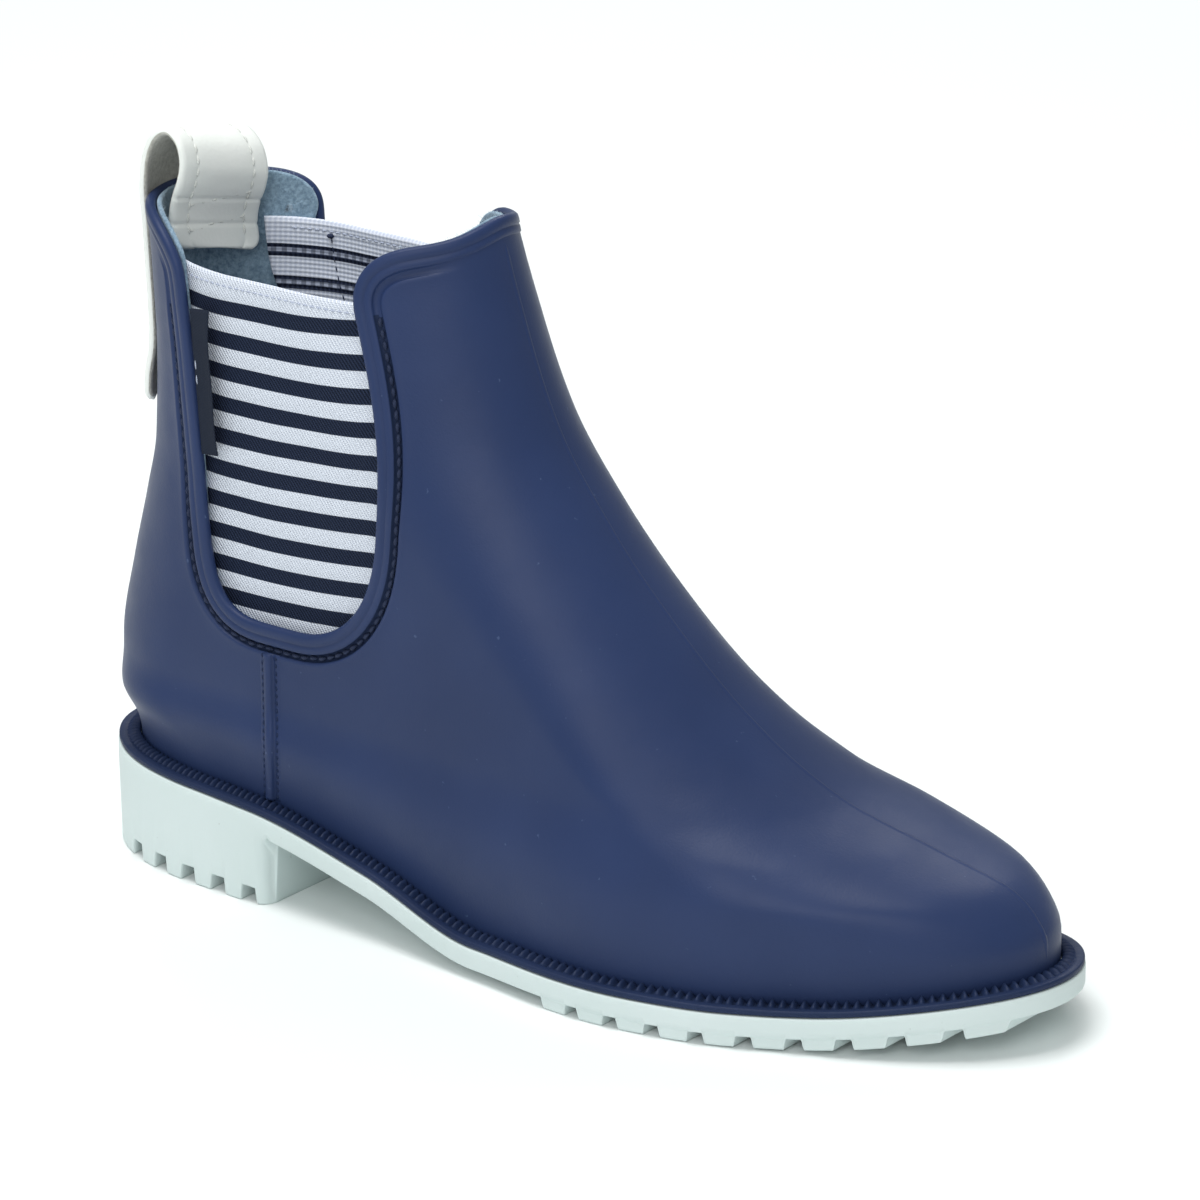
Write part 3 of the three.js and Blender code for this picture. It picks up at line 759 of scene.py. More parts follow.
def knit_colour(tree):
    heather = span(tree, noise(tree, 900, 5, 0.7), 0.32, 0.68)
    cloud = span(tree, noise(tree, 70, 3), 0.25, 0.75, 0.0, 0.35)
    base = mix(tree, heather, (0.075, 0.14, 0.215), (0.34, 0.48, 0.60))
    return mix(tree, cloud, base, (0.25, 0.37, 0.47))


def knit_normal(tree):
    columns = wave(tree, 380, 1.5, "X", 1)
    return bump(tree, noise(tree, 1300, 4, 0.7), 0.7, 0.0006, bump(tree, columns, 0.25, 0.0004))


knit_look = look("heather_knit", knit_colour, 0.95, knit_normal, Specular_IOR_Level=0.15,
                 Sheen_Weight=0.45, Sheen_Roughness=0.6, Sheen_Tint=(0.75, 0.88, 1.0, 1.0))

fuzz_look = look("knit_fibres", lambda t: mix(t, noise(t, 300, 2), (0.30, 0.40, 0.48), (0.55, 0.66, 0.72)),
                 0.95, None, Specular_IOR_Level=0.1)

STRIPE_PITCH = 8.0
STRIPE_TOP = 148.0
STRIPE_SAG = 0.9
STRIPE_TILT = 2.2
STRIPE_REAR = -92.0
STRIPE_FRONT = -40.0


def height_mm(tree):
    """Height in millimetres with the slow waver of a stretched band, and the axes it comes from."""
    axes = axes_of(tree)
    waver = mottle(tree, 30, 1, -0.25, 0.25)
    off = span(tree, axes["X"], STRIPE_REAR * MM, STRIPE_FRONT * MM, -1.0, 1.0)
    sag = span(tree, times(tree, off, off), 0.0, 1.0, STRIPE_SAG, 0.0)
    height = plus(tree, times(tree, axes["Z"], 1000), waver)
    tilt = span(tree, off, -1.0, 1.0, 0.0, STRIPE_TILT)
    return math_node(tree, "SUBTRACT", plus(tree, height, sag), tilt), axes


def stripe_mask(tree, height, width=0.49, edge=0.02):
    """1 on the dark stripes below the hem, with the place within a stripe and 1 below the hem."""
    turn = math_node(tree, "DIVIDE", math_node(tree, "SUBTRACT", STRIPE_TOP, height), STRIPE_PITCH)
    phase = math_node(tree, "FRACT", plus(tree, turn, 4.0))
    dark = times(tree, span(tree, phase, 0, edge), span(tree, phase, width + edge, width))
    below = span(tree, height, STRIPE_TOP + 0.2, STRIPE_TOP - 0.1)
    return times(tree, dark, below), phase, below


def twill(tree, pitch):
    axes = axes_of(tree)
    rate = TURN / (pitch * MM)
    along = times(tree, axes["X"], rate)
    lift = times(tree, axes["Z"], rate * 0.8)
    warp = sine(tree, plus(tree, along, lift))
    weft = sine(tree, times(tree, axes["Z"], rate * 2.1))
    return plus(tree, times(tree, warp, 0.35), times(tree, weft, 0.15))


def plain_weave(tree, pitch):
    axes = axes_of(tree)
    rate = TURN / (pitch * MM)
    warp = sine(tree, times(tree, axes["X"], rate))
    weft = sine(tree, times(tree, axes["Z"], rate))
    return plus(tree, times(tree, warp, 0.25), times(tree, weft, 0.25))


def gore_face_colour(tree):
    height, _ = height_mm(tree)
    mask, _, _ = stripe_mask(tree, height)
    weave = span(tree, twill(tree, 1.0), -0.35, 0.35)
    white = mix(tree, weave, (0.62, 0.67, 0.78), (0.84, 0.89, 0.97))
    navy = mix(tree, weave, (0.005, 0.009, 0.022), (0.026, 0.038, 0.078))
    return mix(tree, mask, white, navy)


def gore_back_colour(tree):
    height, axes = height_mm(tree)
    mask, phase, below = stripe_mask(tree, height, 0.40)
    core = times(tree, span(tree, phase, 0.12, 0.15), span(tree, phase, 0.28, 0.25))
    dash = sine(tree, times(tree, axes["X"], TURN / (2.2 * MM)))
    lines = times(tree, core, span(tree, dash, -0.1, 0.1, 0.45, 1.0))
    weave = span(tree, plain_weave(tree, 1.1), -0.35, 0.35)
    white = mix(tree, weave, (0.55, 0.60, 0.72), (0.80, 0.84, 0.93))
    dark = mix(tree, weave, (0.006, 0.009, 0.022), (0.030, 0.040, 0.075))
    dashed = mix(tree, times(tree, lines, below), dark, (0.40, 0.44, 0.55))
    return mix(tree, mask, white, dashed)


def gore_normal(tree):
    return bump(tree, twill(tree, 1.0), 0.8, 0.0005)


gore_look = look("striped_elastic", gore_face_colour, 0.85, gore_normal, Specular_IOR_Level=0.12)
gore_back_look = look("striped_elastic_back", gore_back_colour, 0.9,
                      lambda t: bump(t, plain_weave(t, 1.1), 0.6, 0.0004), Specular_IOR_Level=0.12)


def strap_colour(tree):
    cloud = mottle(tree, 60, 3)
    return mix(tree, cloud, (0.84, 0.875, 0.835), (0.90, 0.92, 0.89))


def strap_normal(tree):
    pores = cells(tree, 1100)
    return bump(tree, noise(tree, 140, 3), 0.2, 0.0008, bump(tree, pores, 0.12, 0.0003))


strap_look = look("strap_coated", strap_colour, lambda t: mottle(t, 200, 3, 0.36, 0.5),
                  strap_normal, Specular_IOR_Level=0.45)


def felt_colour(tree):
    return mix(tree, mottle(tree, 800, 5, roughness=0.7), (0.42, 0.42, 0.37), (0.72, 0.72, 0.66))


felt_look = look("strap_felt", felt_colour, 0.95, lambda t: bump(t, noise(t, 1000, 5, 0.7), 0.9, 0.0008),
                 Specular_IOR_Level=0.1, Sheen_Weight=0.4, Sheen_Roughness=0.6)


def label_colour(tree):
    weave = span(tree, twill(tree, 0.6), -0.5, 0.5)
    return mix(tree, weave, (0.007, 0.011, 0.022), (0.022, 0.030, 0.052))


label_look = look("label_weave", label_colour, 0.75, lambda t: bump(t, twill(t, 0.6), 0.6, 0.0003),
                  Specular_IOR_Level=0.15)


def grainy_look(name, scale, dark, light, roughness, *relief):
    def colour(tree):
        return mix(tree, mottle(tree, scale, 5, roughness=0.7), dark, light)

    return look(name, colour, roughness, lambda t: bump(t, noise(t, relief[0], 5, 0.7), *relief[1:]),
                Specular_IOR_Level=0.2)


foam_look = look(
    "footbed_foam", lambda t: mix(t, mottle(t, 500, 4), (0.58, 0.62, 0.66), (0.72, 0.75, 0.78)),
    0.85, lambda t: bump(t, cells(t, 900), 0.4, 0.0004), Specular_IOR_Level=0.2,
)
filler_look = grainy_look("heel_filler", 300, (0.42, 0.36, 0.27), (0.68, 0.62, 0.5), 0.9, 500, 0.8, 0.001)
board_look = grainy_look("insole_board", 700, (0.40, 0.31, 0.20), (0.58, 0.48, 0.34), 0.85, 900, 0.5, 0.0005)

# ---- upper and lining


UPPER_COLUMNS = 320
LINING_COLUMNS = 200
COLLAR_LOW = 158.0
FIBRE_RADIUS = 0.045


def make_upper():
    """Navy moulding with the raised band round its collar and opening, and the sewn groove."""
    band = [(1.1, 0.34), (1.6, 0.40), (2.5, 0.40), (2.75, 0.16), (3.0, 0.12), (3.3, 0.28), (4.0, 0.30),
            (4.65, 0.28)]
    groove = [(4.85, 0.10), (5.0, -0.45), (5.3, -0.85), (6.0, -0.95), (6.7, -0.85), (7.0, -0.45), (7.15, 0.06),
              (7.5, 0.24), (8.2, 0.12)]
    relief = [(*row, None) for row in band] + [(*row, navy_fading) for row in groove] + [(9.6, 0.0, None)]
    floor = GAP + SHELL_WALL
    shape, ends = wall(0.0, SHELL_WALL, floor, relief, UPPER_COLUMNS, 1.8, 2.1, GAP)
    for ring in ends:
        shape.cap(ring)
    # The second material, the darker groove copy of the navy, paints shade into the groove's floor.
    upper = make_piece("upper_moulding", shape, [navy_look, groove_shade_look])
    settle(upper, "boot", "navy_moulding", "upper_shell")


def make_lining():
    """Knitted sock, a closed wall just inside the upper."""
    outer = SHELL_WALL + GAP
    relief = [(0.7, 0, None), (2.0, 0, None), (5.0, 0, None), (9.0, 0, None)]
    low = GAP + SHELL_WALL + GAP
    drop = 0.35 + 1.6 * ease((COLLAR_LOW - EDGE[0][:, 1]) / 6)
    shape, ends = wall(outer, outer + LINING_WALL, low, relief, LINING_COLUMNS, 2.6, 3.2, low, edge_drop=drop)
    shape.face(np.stack([ends[0], rolled(ends[0], -1), rolled(ends[1], -1), ends[1]], -1))
    settle(make_piece("knit_lining", shape, [knit_look]), "boot", "lining_knit", "lining")


def make_lining_fuzz():
    """Short loose fibres standing up from the lining's cut edge round the collar."""
    curve = below_edge(0.9)
    place = layer_point(*curve.T, SHELL_WALL + GAP + LINING_WALL / 2)
    up = -inward_at(curve)
    normal = wall_normal(*curve.T)
    shape = Shape()
    for index in range(EDGE_POINTS):
        if curve[index, 1] < COLLAR_LOW:
            continue
        lean = random.uniform(-0.5, 0.5, 3)
        length = random.uniform(0.4, 1.1)
        foot = place[index] + normal[index] * random.uniform(-0.5, 0.5)
        steps = np.array([0, 0.5, 1])[:, None]
        path = foot + up[index] * length * steps + lean * length * steps**2 - normal[index] * 0.4 * steps**2
        tube(shape, path, FIBRE_RADIUS, normal[index], sides=3)
    settle(make_piece("lining_fuzz", shape, [fuzz_look], weld=0), "boot", "lining_knit")


make_upper()
make_lining()
make_lining_fuzz()

# ---- gores, stitching and seams

HEM_STITCH_HEIGHT = 151.2
HEM_TOP = 153.4
GORE_THICKNESS = 1.3
BACK_SEAM_X = 42.7
MEDIAL_REACH = 4.5


def make_gore(side, word):
    """Striped elastic panel with a turned hem at its top."""
    edge = opening_path(GORE_MARGIN)
    lowest = int(np.argmin(edge[:, 1] + np.abs(edge[:, 0] - 65) * 1e-6))
    rear, front = edge[: lowest + 1], edge[lowest:]
    low_rows = edge[lowest, 1] + 0.02 + 6 * np.linspace(0, 1, 10) ** 2
    heights = np.concatenate([low_rows, np.linspace(68.5, HEM_TOP, 88)])
    columns = 61
    swell = np.sin(np.pi * np.linspace(0, 1, columns))
    low_depth = SHELL_WALL + GAP + LINING_WALL + GAP
    outer, inner = [], []
    for height in heights:
        rear_x = np.interp(-height, -rear[:, 1], rear[:, 0])
        rear_x -= MEDIAL_REACH * float(ease((height - 120) / 25)) * (side > 0)
        front_x = np.interp(height, front[:, 1], front[:, 0])
        x = np.linspace(rear_x, front_x, columns)
        angle = angle_at(x, height, side)
        rib = 0.12 * np.sin(TURN * (height - STRIPE_TOP) / STRIPE_PITCH) * swell
        hem = 0.35 * ease((height - (STRIPE_TOP - 0.4)) / 0.8)
        outer.append(layer_point(angle, height, low_depth - rib - hem * 0.4))
        inner.append(layer_point(angle, height, low_depth + GORE_THICKNESS + hem * 0.4 - rib))
    outer, inner = np.array(outer), np.array(inner)
    shape = Shape()
    middle_top = (outer[-1] + inner[-1]) / 2 + [0, 0, 0.55]
    top_out, top_in = (outer[-1] * part + inner[-1] * (1 - part) + [0, 0, 0.4] for part in (0.75, 0.25))
    shape.grid(np.concatenate([outer, [top_out, middle_top]]))
    shape.grid(np.concatenate([inner, [top_in, middle_top]]), mark=1)
    for k in (0, -1):
        shape.grid([outer[:, k], inner[:, k]])
        shape.grid([[outer[-1, k], top_out[k], middle_top[k]], [inner[-1, k], top_in[k], middle_top[k]]])
    shape.grid([outer[0], inner[0]])
    piece = make_piece(f"elastic_gore_{word}", shape, [gore_look, gore_back_look])
    settle(piece, "boot", "gore_elastic", f"gore_{word}")
    thread = Shape()
    row = int(np.argmin(np.abs(heights - HEM_STITCH_HEIGHT)))
    for face, way in ((outer, -1), (inner, 1)):
        path = face[row, 5:-5]
        ups = way * unit(inner[row, 5:-5] - outer[row, 5:-5])
        stitches(thread, path + ups * 0.05, ups, 1.5, 0.35, 0.24)
    settle(make_piece(f"gore_hem_stitching_{word}", thread, [hem_thread], weld=0), "boot", "gore_elastic")
    column = int(np.argmin(np.abs(inner[row, :, 0] - BACK_SEAM_X)))
    seam = inner[heights > 118][:, column][::-1]
    seam = seam[3:]
    ups = np.broadcast_to(unit(inner[row, column] - outer[row, column]), seam.shape)
    back = Shape()
    stitches(back, seam + ups * 0.02, ups, 1.7, 0.6, 0.2)
    knot = seam[0] + ups[0] * 0.3
    tube(back, [knot + [0, 0, 0.45], knot, knot - [0, 0, 0.45]], np.array([0.6, 1.0, 0.6]), ups[0], sides=8)
    settle(make_piece(f"gore_back_stitching_{word}", back, [navy_thread], weld=0), "boot", "navy_thread")


def make_gore_stitching(side, word):
    """The sewn line in the groove round the opening."""
    shape = Shape()
    picks = (EDGE[0][:, 0] < math.pi) if side < 0 else (EDGE[0][:, 0] > math.pi)
    curve = below_edge(6.0)[picks]
    curve = curve[(navy_fading(curve) > 0.6) & ~on_clean_line(curve)]
    path = layer_point(*curve.T, 0.42)
    path += random.normal(0, 0.05, path.shape)
    stitches(shape, path, wall_normal(*curve.T), 2.2, 0.55, 0.56)
    settle(make_piece(f"gore_stitching_{word}", shape, [navy_thread], weld=0), "boot", "navy_thread",
           f"gore_thread_{word}")


def strip_on_wall(angles, heights, offsets, lifts):
    """Rows of a raised strip along a line on the outer surface, and that line with its directions."""
    normal = wall_normal(angles, heights)
    place = upper_point(angles, heights)
    across = unit(np.cross(unit(np.gradient(place, axis=0)), normal))
    rows = [place + across * offset + normal * lift for offset, lift in zip(offsets, lifts)]
    return np.array(rows), place, across, normal


def bar(rows):
    """Closed bar through rows of points, looped round and capped at both ends."""
    shape = Shape()
    shape.grid(rows, looped=True)
    for end in (0, -1):
        start = shape.add(rows[:, end])
        shape.face([list(range(start, start + len(rows)))])
    return shape


def make_side_seam(side, word):
    """Upright welt down the side, from the opening to the sole, with a row of stitches each side."""
    heights = np.linspace(63.6, 3.2, 120)
    x = 64.2 - 0.7 * (64 - heights) / 61 + 0.76 * belly_at(heights)
    angles = angle_at(x, heights, side)
    offsets = [-3.6, -2.9, -2.5, -1.6, -1.35, -1.25, -0.8, 0, 0.8, 1.25, 1.35, 1.6, 2.5, 2.9, 3.6]
    lifts = [-0.25, 0.02, 0.16, 0.12, 0.08, 0.95, 1.35, 1.5, 1.35, 0.95, 0.08, 0.12, 0.16, 0.02, -0.25]
    rows, place, across, normal = strip_on_wall(angles, heights, offsets, lifts)
    under = place - normal * 0.7
    shape = bar(np.concatenate([rows, [under + across * 3.0, under - across * 3.0]]))
    settle(make_piece(f"side_seam_{word}", shape, [navy_look]), "boot", "navy_moulding")
    # The stitch rows take the darker seam copy of the navy: painted shade.
    thread = Shape()
    for offset in (-2.1, 2.1):
        stitches(thread, place + across * offset + normal * 0.16, normal, 1.3, 0.6, 0.36)
    settle(make_piece(f"side_seam_stitching_{word}", thread, [seam_shade_look], weld=0), "boot", "navy_moulding")


def make_centre_seam():
    """Fine raised parting line over the instep, from the collar to the toe."""
    top = below_edge(5.0)[:, 1][np.argmin(np.abs(EDGE[0][:, 0] - math.pi))]
    heights = np.linspace(top, 4.0, 260)
    run = run_along(upper_point(math.pi, heights))
    heights = np.interp(np.linspace(0, run[-1], 200), run, heights)
    angles = np.full(len(heights), math.pi)
    share = np.linspace(0, 1, len(heights))
    taper = ease(share / 0.02) * ease((1 - share) / 0.02)
    offsets = [-1.0, -0.55, -0.25, 0, 0.25, 0.55, 1.0]
    lifts = [-0.12, 0.03, 0.16, 0.20, 0.16, 0.03, -0.12]
    rows, place, _, normal = strip_on_wall(angles, heights, offsets, lifts)
    rows -= normal[None] * (1 - taper)[None, :, None] * 0.25
    shape = bar(np.concatenate([rows, [place - normal * 0.45]]))
    settle(make_piece("centre_seam", shape, [navy_look]), "boot", "navy_moulding")


for side, word in ((-1, "lateral"), (1, "medial")):
    make_gore(side, word)
    make_gore_stitching(side, word)
    make_side_seam(side, word)
make_centre_seam()

# ---- welt

RIB_PITCH_REAR = 1.9
RIB_PITCH_FRONT = 2.5
RIBBED_ROWS = slice(10, 16)


def make_welt():
    """Strip round the foot: a flat outer band and, beside the upper, a row of cross ribs."""
    fine = np.linspace(0, TURN, 4001)
    outline = ring_plan(fine, 3.0)
    run = run_along(outline)
    pitch = RIB_PITCH_REAR + (RIB_PITCH_FRONT - RIB_PITCH_REAR) * ease((outline[:, 0] - 90) / 80)
    counted = np.concatenate([[0], np.cumsum(np.diff(run) / pitch[1:])])
    ribs = int(round(counted[-1]))
    ridge = np.tile([0.0, 0.30, 0.72, 1.0, 0.72, 0.30], ribs)
    angles = np.interp(counted[-1] * np.arange(len(ridge)) / len(ridge), counted, fine)
    rows = []
    section = [
        (0.35, 0.0, 0), (2.5, 0.0, 0), (5.2, 0.0, 0), (5.5, 0.12, 0), (5.6, 0.5, 0), (5.6, 1.0, 0),
        (5.5, 1.35, 0), (5.2, 1.5, 0), (4.2, 1.56, 0), (3.7, 1.58, 0), (3.35, 1.2, 0.35), (3.0, 0.95, 1.1),
        (2.4, 0.85, 1.75), (1.5, 0.8, 2.0), (0.8, 0.85, 1.9), (0.4, 0.95, 1.5), (0.35, 0.8, 0.3),
    ]
    for reach, height, ribbed in section:
        at_rib_ends = 2.9 < reach < 3.4
        plan = ring_plan(angles, reach + 0.5 * (ridge - 0.5) if at_rib_ends else reach)
        rows.append(raised(plan, sole_top(plan[:, 0]) + GAP + height + ribbed * ridge))
    shape = Shape()
    # The hollows between the ribs take the darker groove copy and the rest of the welt the darker seam copy of
    # the navy: both painted shade.
    marks = np.zeros((len(section), len(angles)), int)
    marks[RIBBED_ROWS] = np.tile([1, 0, 0, 0, 0, 1], ribs)
    shape.grid(np.array(rows), closed=True, looped=True, mark=marks.ravel())
    settle(make_piece("ribbed_welt", shape, [seam_shade_look, groove_shade_look]), "boot", "navy_moulding", "welt")


make_welt()

# ---- outsole

SOLE_REACH = WELT_REACH + SOLE_PROUD
NOTCH_PITCH = 10.1
NOTCH_GAP = 5.4
NOTCH_DEPTH = 4.0
HEEL_CUTS = [59.8 - k * NOTCH_PITCH for k in range(4, -1, -1)]
HEEL_BARS = list(zip([0.0] + [c + NOTCH_GAP / 2 for c in HEEL_CUTS],
                     [c - NOTCH_GAP / 2 for c in HEEL_CUTS] + [HEEL_LENGTH]))
LUG_PITCH = 10.8
LUG_LENGTH = 6.3
LUG_START = 157.0
TREAD_BARS = [(LUG_START + k * LUG_PITCH, LUG_START + k * LUG_PITCH + LUG_LENGTH) for k in range(10)]
EDGE_ROUND = 0.7
FLANK = 0.7
BREAST_RUN = 1.6
BREAST_CORNER = 4.0
LUG_INSET = 0.45
HEEL_INSET = 0.5
HOLLOW_INSET = 9.3
FINE_STATIONS = [61, 62, 63, 63.8, 64.4, 64.8, 55.9, 56.1]
ACROSS = [0.02, 0.08, 0.17, 0.26, 0.29, 0.32, 0.35, 0.42, 0.5, 0.58, 0.65, 0.68, 0.71, 0.74, 0.83, 0.92, 0.98]


def bar_mask(x, bars, low_end, high_end):
    """1 on the bars, falling over a short flank; open ends keep their full depth."""
    mask = np.zeros_like(x)
    for start, end in bars:
        rise = np.ones_like(x) if start == low_end else ease((x - start + FLANK) / FLANK)
        fall = np.ones_like(x) if end == high_end else ease((end + FLANK - x) / FLANK)
        mask = np.maximum(mask, rise * fall)
    return mask


def sole_bottom(x):
    """Lowest surface of the sole along the foot, with the heel's teeth and the tread's lugs."""
    plate = sole_top(x) - PLATE
    heel = NOTCH_DEPTH * (1 - bar_mask(x, HEEL_BARS, 0.0, HEEL_BARS[-1][1]))
    tread = plate - TREAD_DEPTH * bar_mask(x, TREAD_BARS, None, None)
    breast = ease((x - HEEL_LENGTH) / BREAST_RUN)
    return heel * (1 - breast) + tread * breast


def make_outsole():
    """Sole as rings from its top edge down the side, across the tread and into the hollow of the heel."""
    fine = np.linspace(0, math.pi, 3001)
    bars_at = []
    for bars in (HEEL_BARS, TREAD_BARS):
        for start, end in bars:
            for share in (0, 0.25, 0.5, 0.75, 1):
                bars_at += [start - FLANK * share, end + FLANK * share]
    bars_at += [HEEL_LENGTH + BREAST_RUN * s for s in (0, 0.12, 0.3, 0.5, 0.7, 0.88, 1)] + FINE_STATIONS
    ends = (SOLE_LENGTH + 2 * SOLE_PROUD) * (1 - np.cos(np.linspace(0, math.pi, 150))) / 2 - SOLE_PROUD
    stations = np.concatenate([ends, np.arange(4, 262, 2.0), bars_at])
    on_sole = (stations >= -SOLE_PROUD) & (stations <= SOLE_LENGTH + SOLE_PROUD)
    stations = np.unique(np.round(stations[on_sole], 3))
    stations = stations[np.concatenate([[True], np.diff(stations) > 0.08])]
    stations[0], stations[-1] = -SOLE_PROUD, SOLE_LENGTH + SOLE_PROUD
    at = {}
    for side, sign in (("outer", 1), ("inner", -1)):
        x = np.maximum.accumulate(ring_plan(sign * fine, SOLE_REACH)[:, 0])
        at[side] = sign * np.interp(stations, x, fine)
        at[side][-1] = sign * math.pi
    top = sole_top(stations)
    plate = top - PLATE
    bottom = sole_bottom(stations)
    turned = np.clip(stations - (HEEL_LENGTH - BREAST_CORNER), 0, BREAST_CORNER)
    rounded = BREAST_CORNER - np.sqrt(BREAST_CORNER**2 - turned**2)
    breast_inset = np.where(stations < HEEL_LENGTH + 2, rounded, 0.0)
    in_heel = stations < HEEL_LENGTH + 1.7
    on_lug = np.clip((plate - bottom) / TREAD_DEPTH, 0, 1)
    seam_z = np.maximum(plate + 0.5, bottom + EDGE_ROUND)

    def ring(side, inset, z):
        return raised(ring_plan(at[side], SOLE_REACH - inset), z)

    def side_rows(side):
        top_edge = ((9.1, 0), (4.0, 0), (0.5, 0), (0.12, 0.1), (0.0, 0.45))
        rows = [ring(side, inset, top - drop) for inset, drop in top_edge]
        for share in (0.35, 0.7, 1.0):
            rows.append(ring(side, 0.0, (top - 0.45) * (1 - share) + seam_z * share))
        for share in (0.08, 0.16, 0.35, 0.6, 0.8, 1.0):
            z = seam_z * (1 - share) + (bottom + EDGE_ROUND) * share
            lug = LUG_INSET * ease(share / 0.16) * on_lug
            heel = breast_inset * ease(share / 0.35) + HEEL_INSET * share
            rows.append(ring(side, np.where(in_heel, heel, lug), z))
        inset = np.where(in_heel, breast_inset + HEEL_INSET, LUG_INSET * on_lug)
        for turn in np.linspace(0, math.pi / 2, 5)[1:]:
            grown = inset + EDGE_ROUND * (1 - math.cos(turn))
            rows.append(ring(side, grown, bottom + EDGE_ROUND * (1 - math.sin(turn))))
        return rows

    outer, inner = side_rows("outer"), side_rows("inner")
    under = []
    forefoot = ease((stations - 118) / 6) * ease((246 - stations) / 8)
    for share in ACROSS:
        row = outer[-1] * (1 - share) + inner[-1] * share
        groove = 1.0 if 0.28 < share < 0.33 or 0.67 < share < 0.72 else 0.0
        lift = groove * forefoot * np.maximum(plate - bottom, 0) * 0.8
        heel_middle = 1.0 if 0.34 < share < 0.66 else 0.0
        hollow = heel_middle * ease((stations - 9) / 2) * ease((52 - stations) / 2)
        row[:, 2] = bottom + lift + hollow * np.maximum(LUG_DEPTH - bottom, 0) * 0.9
        under.append(row)
    floor = LUG_DEPTH + 5
    pocket = np.where(stations < HEEL_LENGTH - 9, 1.0, 0.0)
    bed = top * (1 - pocket) + floor * pocket
    first, last = (ring(side, HOLLOW_INSET, bed) for side in ("inner", "outer"))
    sunk = [first] + [first * (1 - share) + last * share for share in (0.25, 0.5, 0.75)] + [last]
    rows = np.array(outer + under + inner[::-1] + sunk)
    shape = Shape()
    index = shape.grid(rows, looped=True)
    for end in (0, -1):
        loop = index[:, end]
        count, other = len(outer), len(outer) + len(under)
        left, right = loop[:count], loop[other: other + count][::-1]
        shape.face(np.stack([left[:-1], left[1:], right[1:], right[:-1]], -1))
    settle(make_piece("lugged_sole", shape, [sole_look], weld=4e-6), "boot", "white_sole", "outsole")


make_outsole()

# ---- footbed


DISH = 0.8


def make_insole_layer(name, low, high, material, slot, *nodes):
    """Flat layer inside the lining with a rounded edge and a slightly dished top."""
    angles = TURN * np.arange(240) / 240
    margin = SHELL_WALL + GAP + LINING_WALL + 1.5
    thick = high - low
    bend = min(thick / 2, 1.2)
    rows = []
    for inset, height in ((12, 0), (bend, 0), (bend * 0.3, bend * 0.3), (0, bend), (0, thick - bend),
                          (bend * 0.3, thick - bend * 0.3), (bend, thick)):
        plan = ring_plan(angles, -(margin + inset))
        rows.append(raised(plan, sole_top(plan[:, 0]) + low + height))
    rim = rows[-1]
    opposite = rolled(rim[::-1], 1)
    for share in (0.06, 0.14, 0.26, 0.4, 0.5):
        row = rim * (1 - share) + opposite * share
        dish = DISH * math.sin(math.pi * share)
        row[:, 2] = sole_top(row[:, 0]) + low + thick - dish
        rows.append(row)
    shape = Shape()
    index = shape.grid(np.array(rows), closed=True)
    shape.cap(index[0])
    return settle(make_piece(name, shape, [material]), "insole", slot, *nodes)


BOARD_THICKNESS = 1.5
FOOTBED_THICKNESS = 4.0
COVER_THICKNESS = 0.8
board_low = GAP + SHELL_WALL + GAP
footbed_low = board_low + BOARD_THICKNESS + GAP
cover_low = footbed_low + FOOTBED_THICKNESS + GAP
footbed = make_insole_layer(
    "foam_footbed", footbed_low, footbed_low + FOOTBED_THICKNESS, foam_look, "footbed_foam", "footbed")
cover = make_insole_layer(
    "knit_footbed_cover", cover_low, cover_low + COVER_THICKNESS, knit_look, "lining_knit", "footbed_cover")

# ---- pull strap

STRAP_HALF = 14.0
STRAP_LEG = (113.4, 120, 128, 138, 148, 158)
STRAP_TURN = (
    (0.0, -0.1, 163.5, 0.0), (0.05, -0.1, 169.0, 0.3), (0.2, 0.9, 175.3, 0.65), (0.45, 3.6, 180.2, 0.85),
    (0.7, 7.4, 182.0, 1.0), (0.9, 10.6, 179.6, 1.2), (1.0, 11.7, 175.0, 1.35), (1.0, 10.9, 170.4, 1.3),
    (1.0, 9.5, 166.8, 1.25), (1.0, 8.5, 163.4, 1.2), (1.0, 8.2, 160.2, 1.12), (1.0, 8.5, 156.8, 1.07),
    (1.0, 9.0, 153.3, 1.02),
)


def back_x(y, z):
    """x of the outer surface at the back of the shaft, at y across it."""
    share = height_share(z)
    round_off = 1 - np.sqrt(np.maximum(1 - (y / (SHAFT_WIDTH / 2)) ** 2, 0))
    return back_line(share) + back_rounding(share) * round_off


def smooth_path(points, count):
    """Catmull-Rom curve through points, evenly spaced."""
    points = np.asarray(points, float)
    padded = np.concatenate([[2 * points[0] - points[1]], points, [2 * points[-1] - points[-2]]])
    pieces = []
    for k in range(len(points) - 1):
        p0, p1, p2, p3 = padded[k: k + 4]
        t = np.linspace(0, 1, 24, endpoint=False)[:, None]
        pieces.append(0.5 * (2 * p1 + (p2 - p0) * t + (2 * p0 - 5 * p1 + 4 * p2 - p3) * t**2
                             + (3 * p1 - p0 - 3 * p2 + p3) * t**3))
    pieces.append(points[-1:])
    path = np.concatenate(pieces)
    run = run_along(path)
    return sample(np.linspace(0, run[-1], count), run, path)


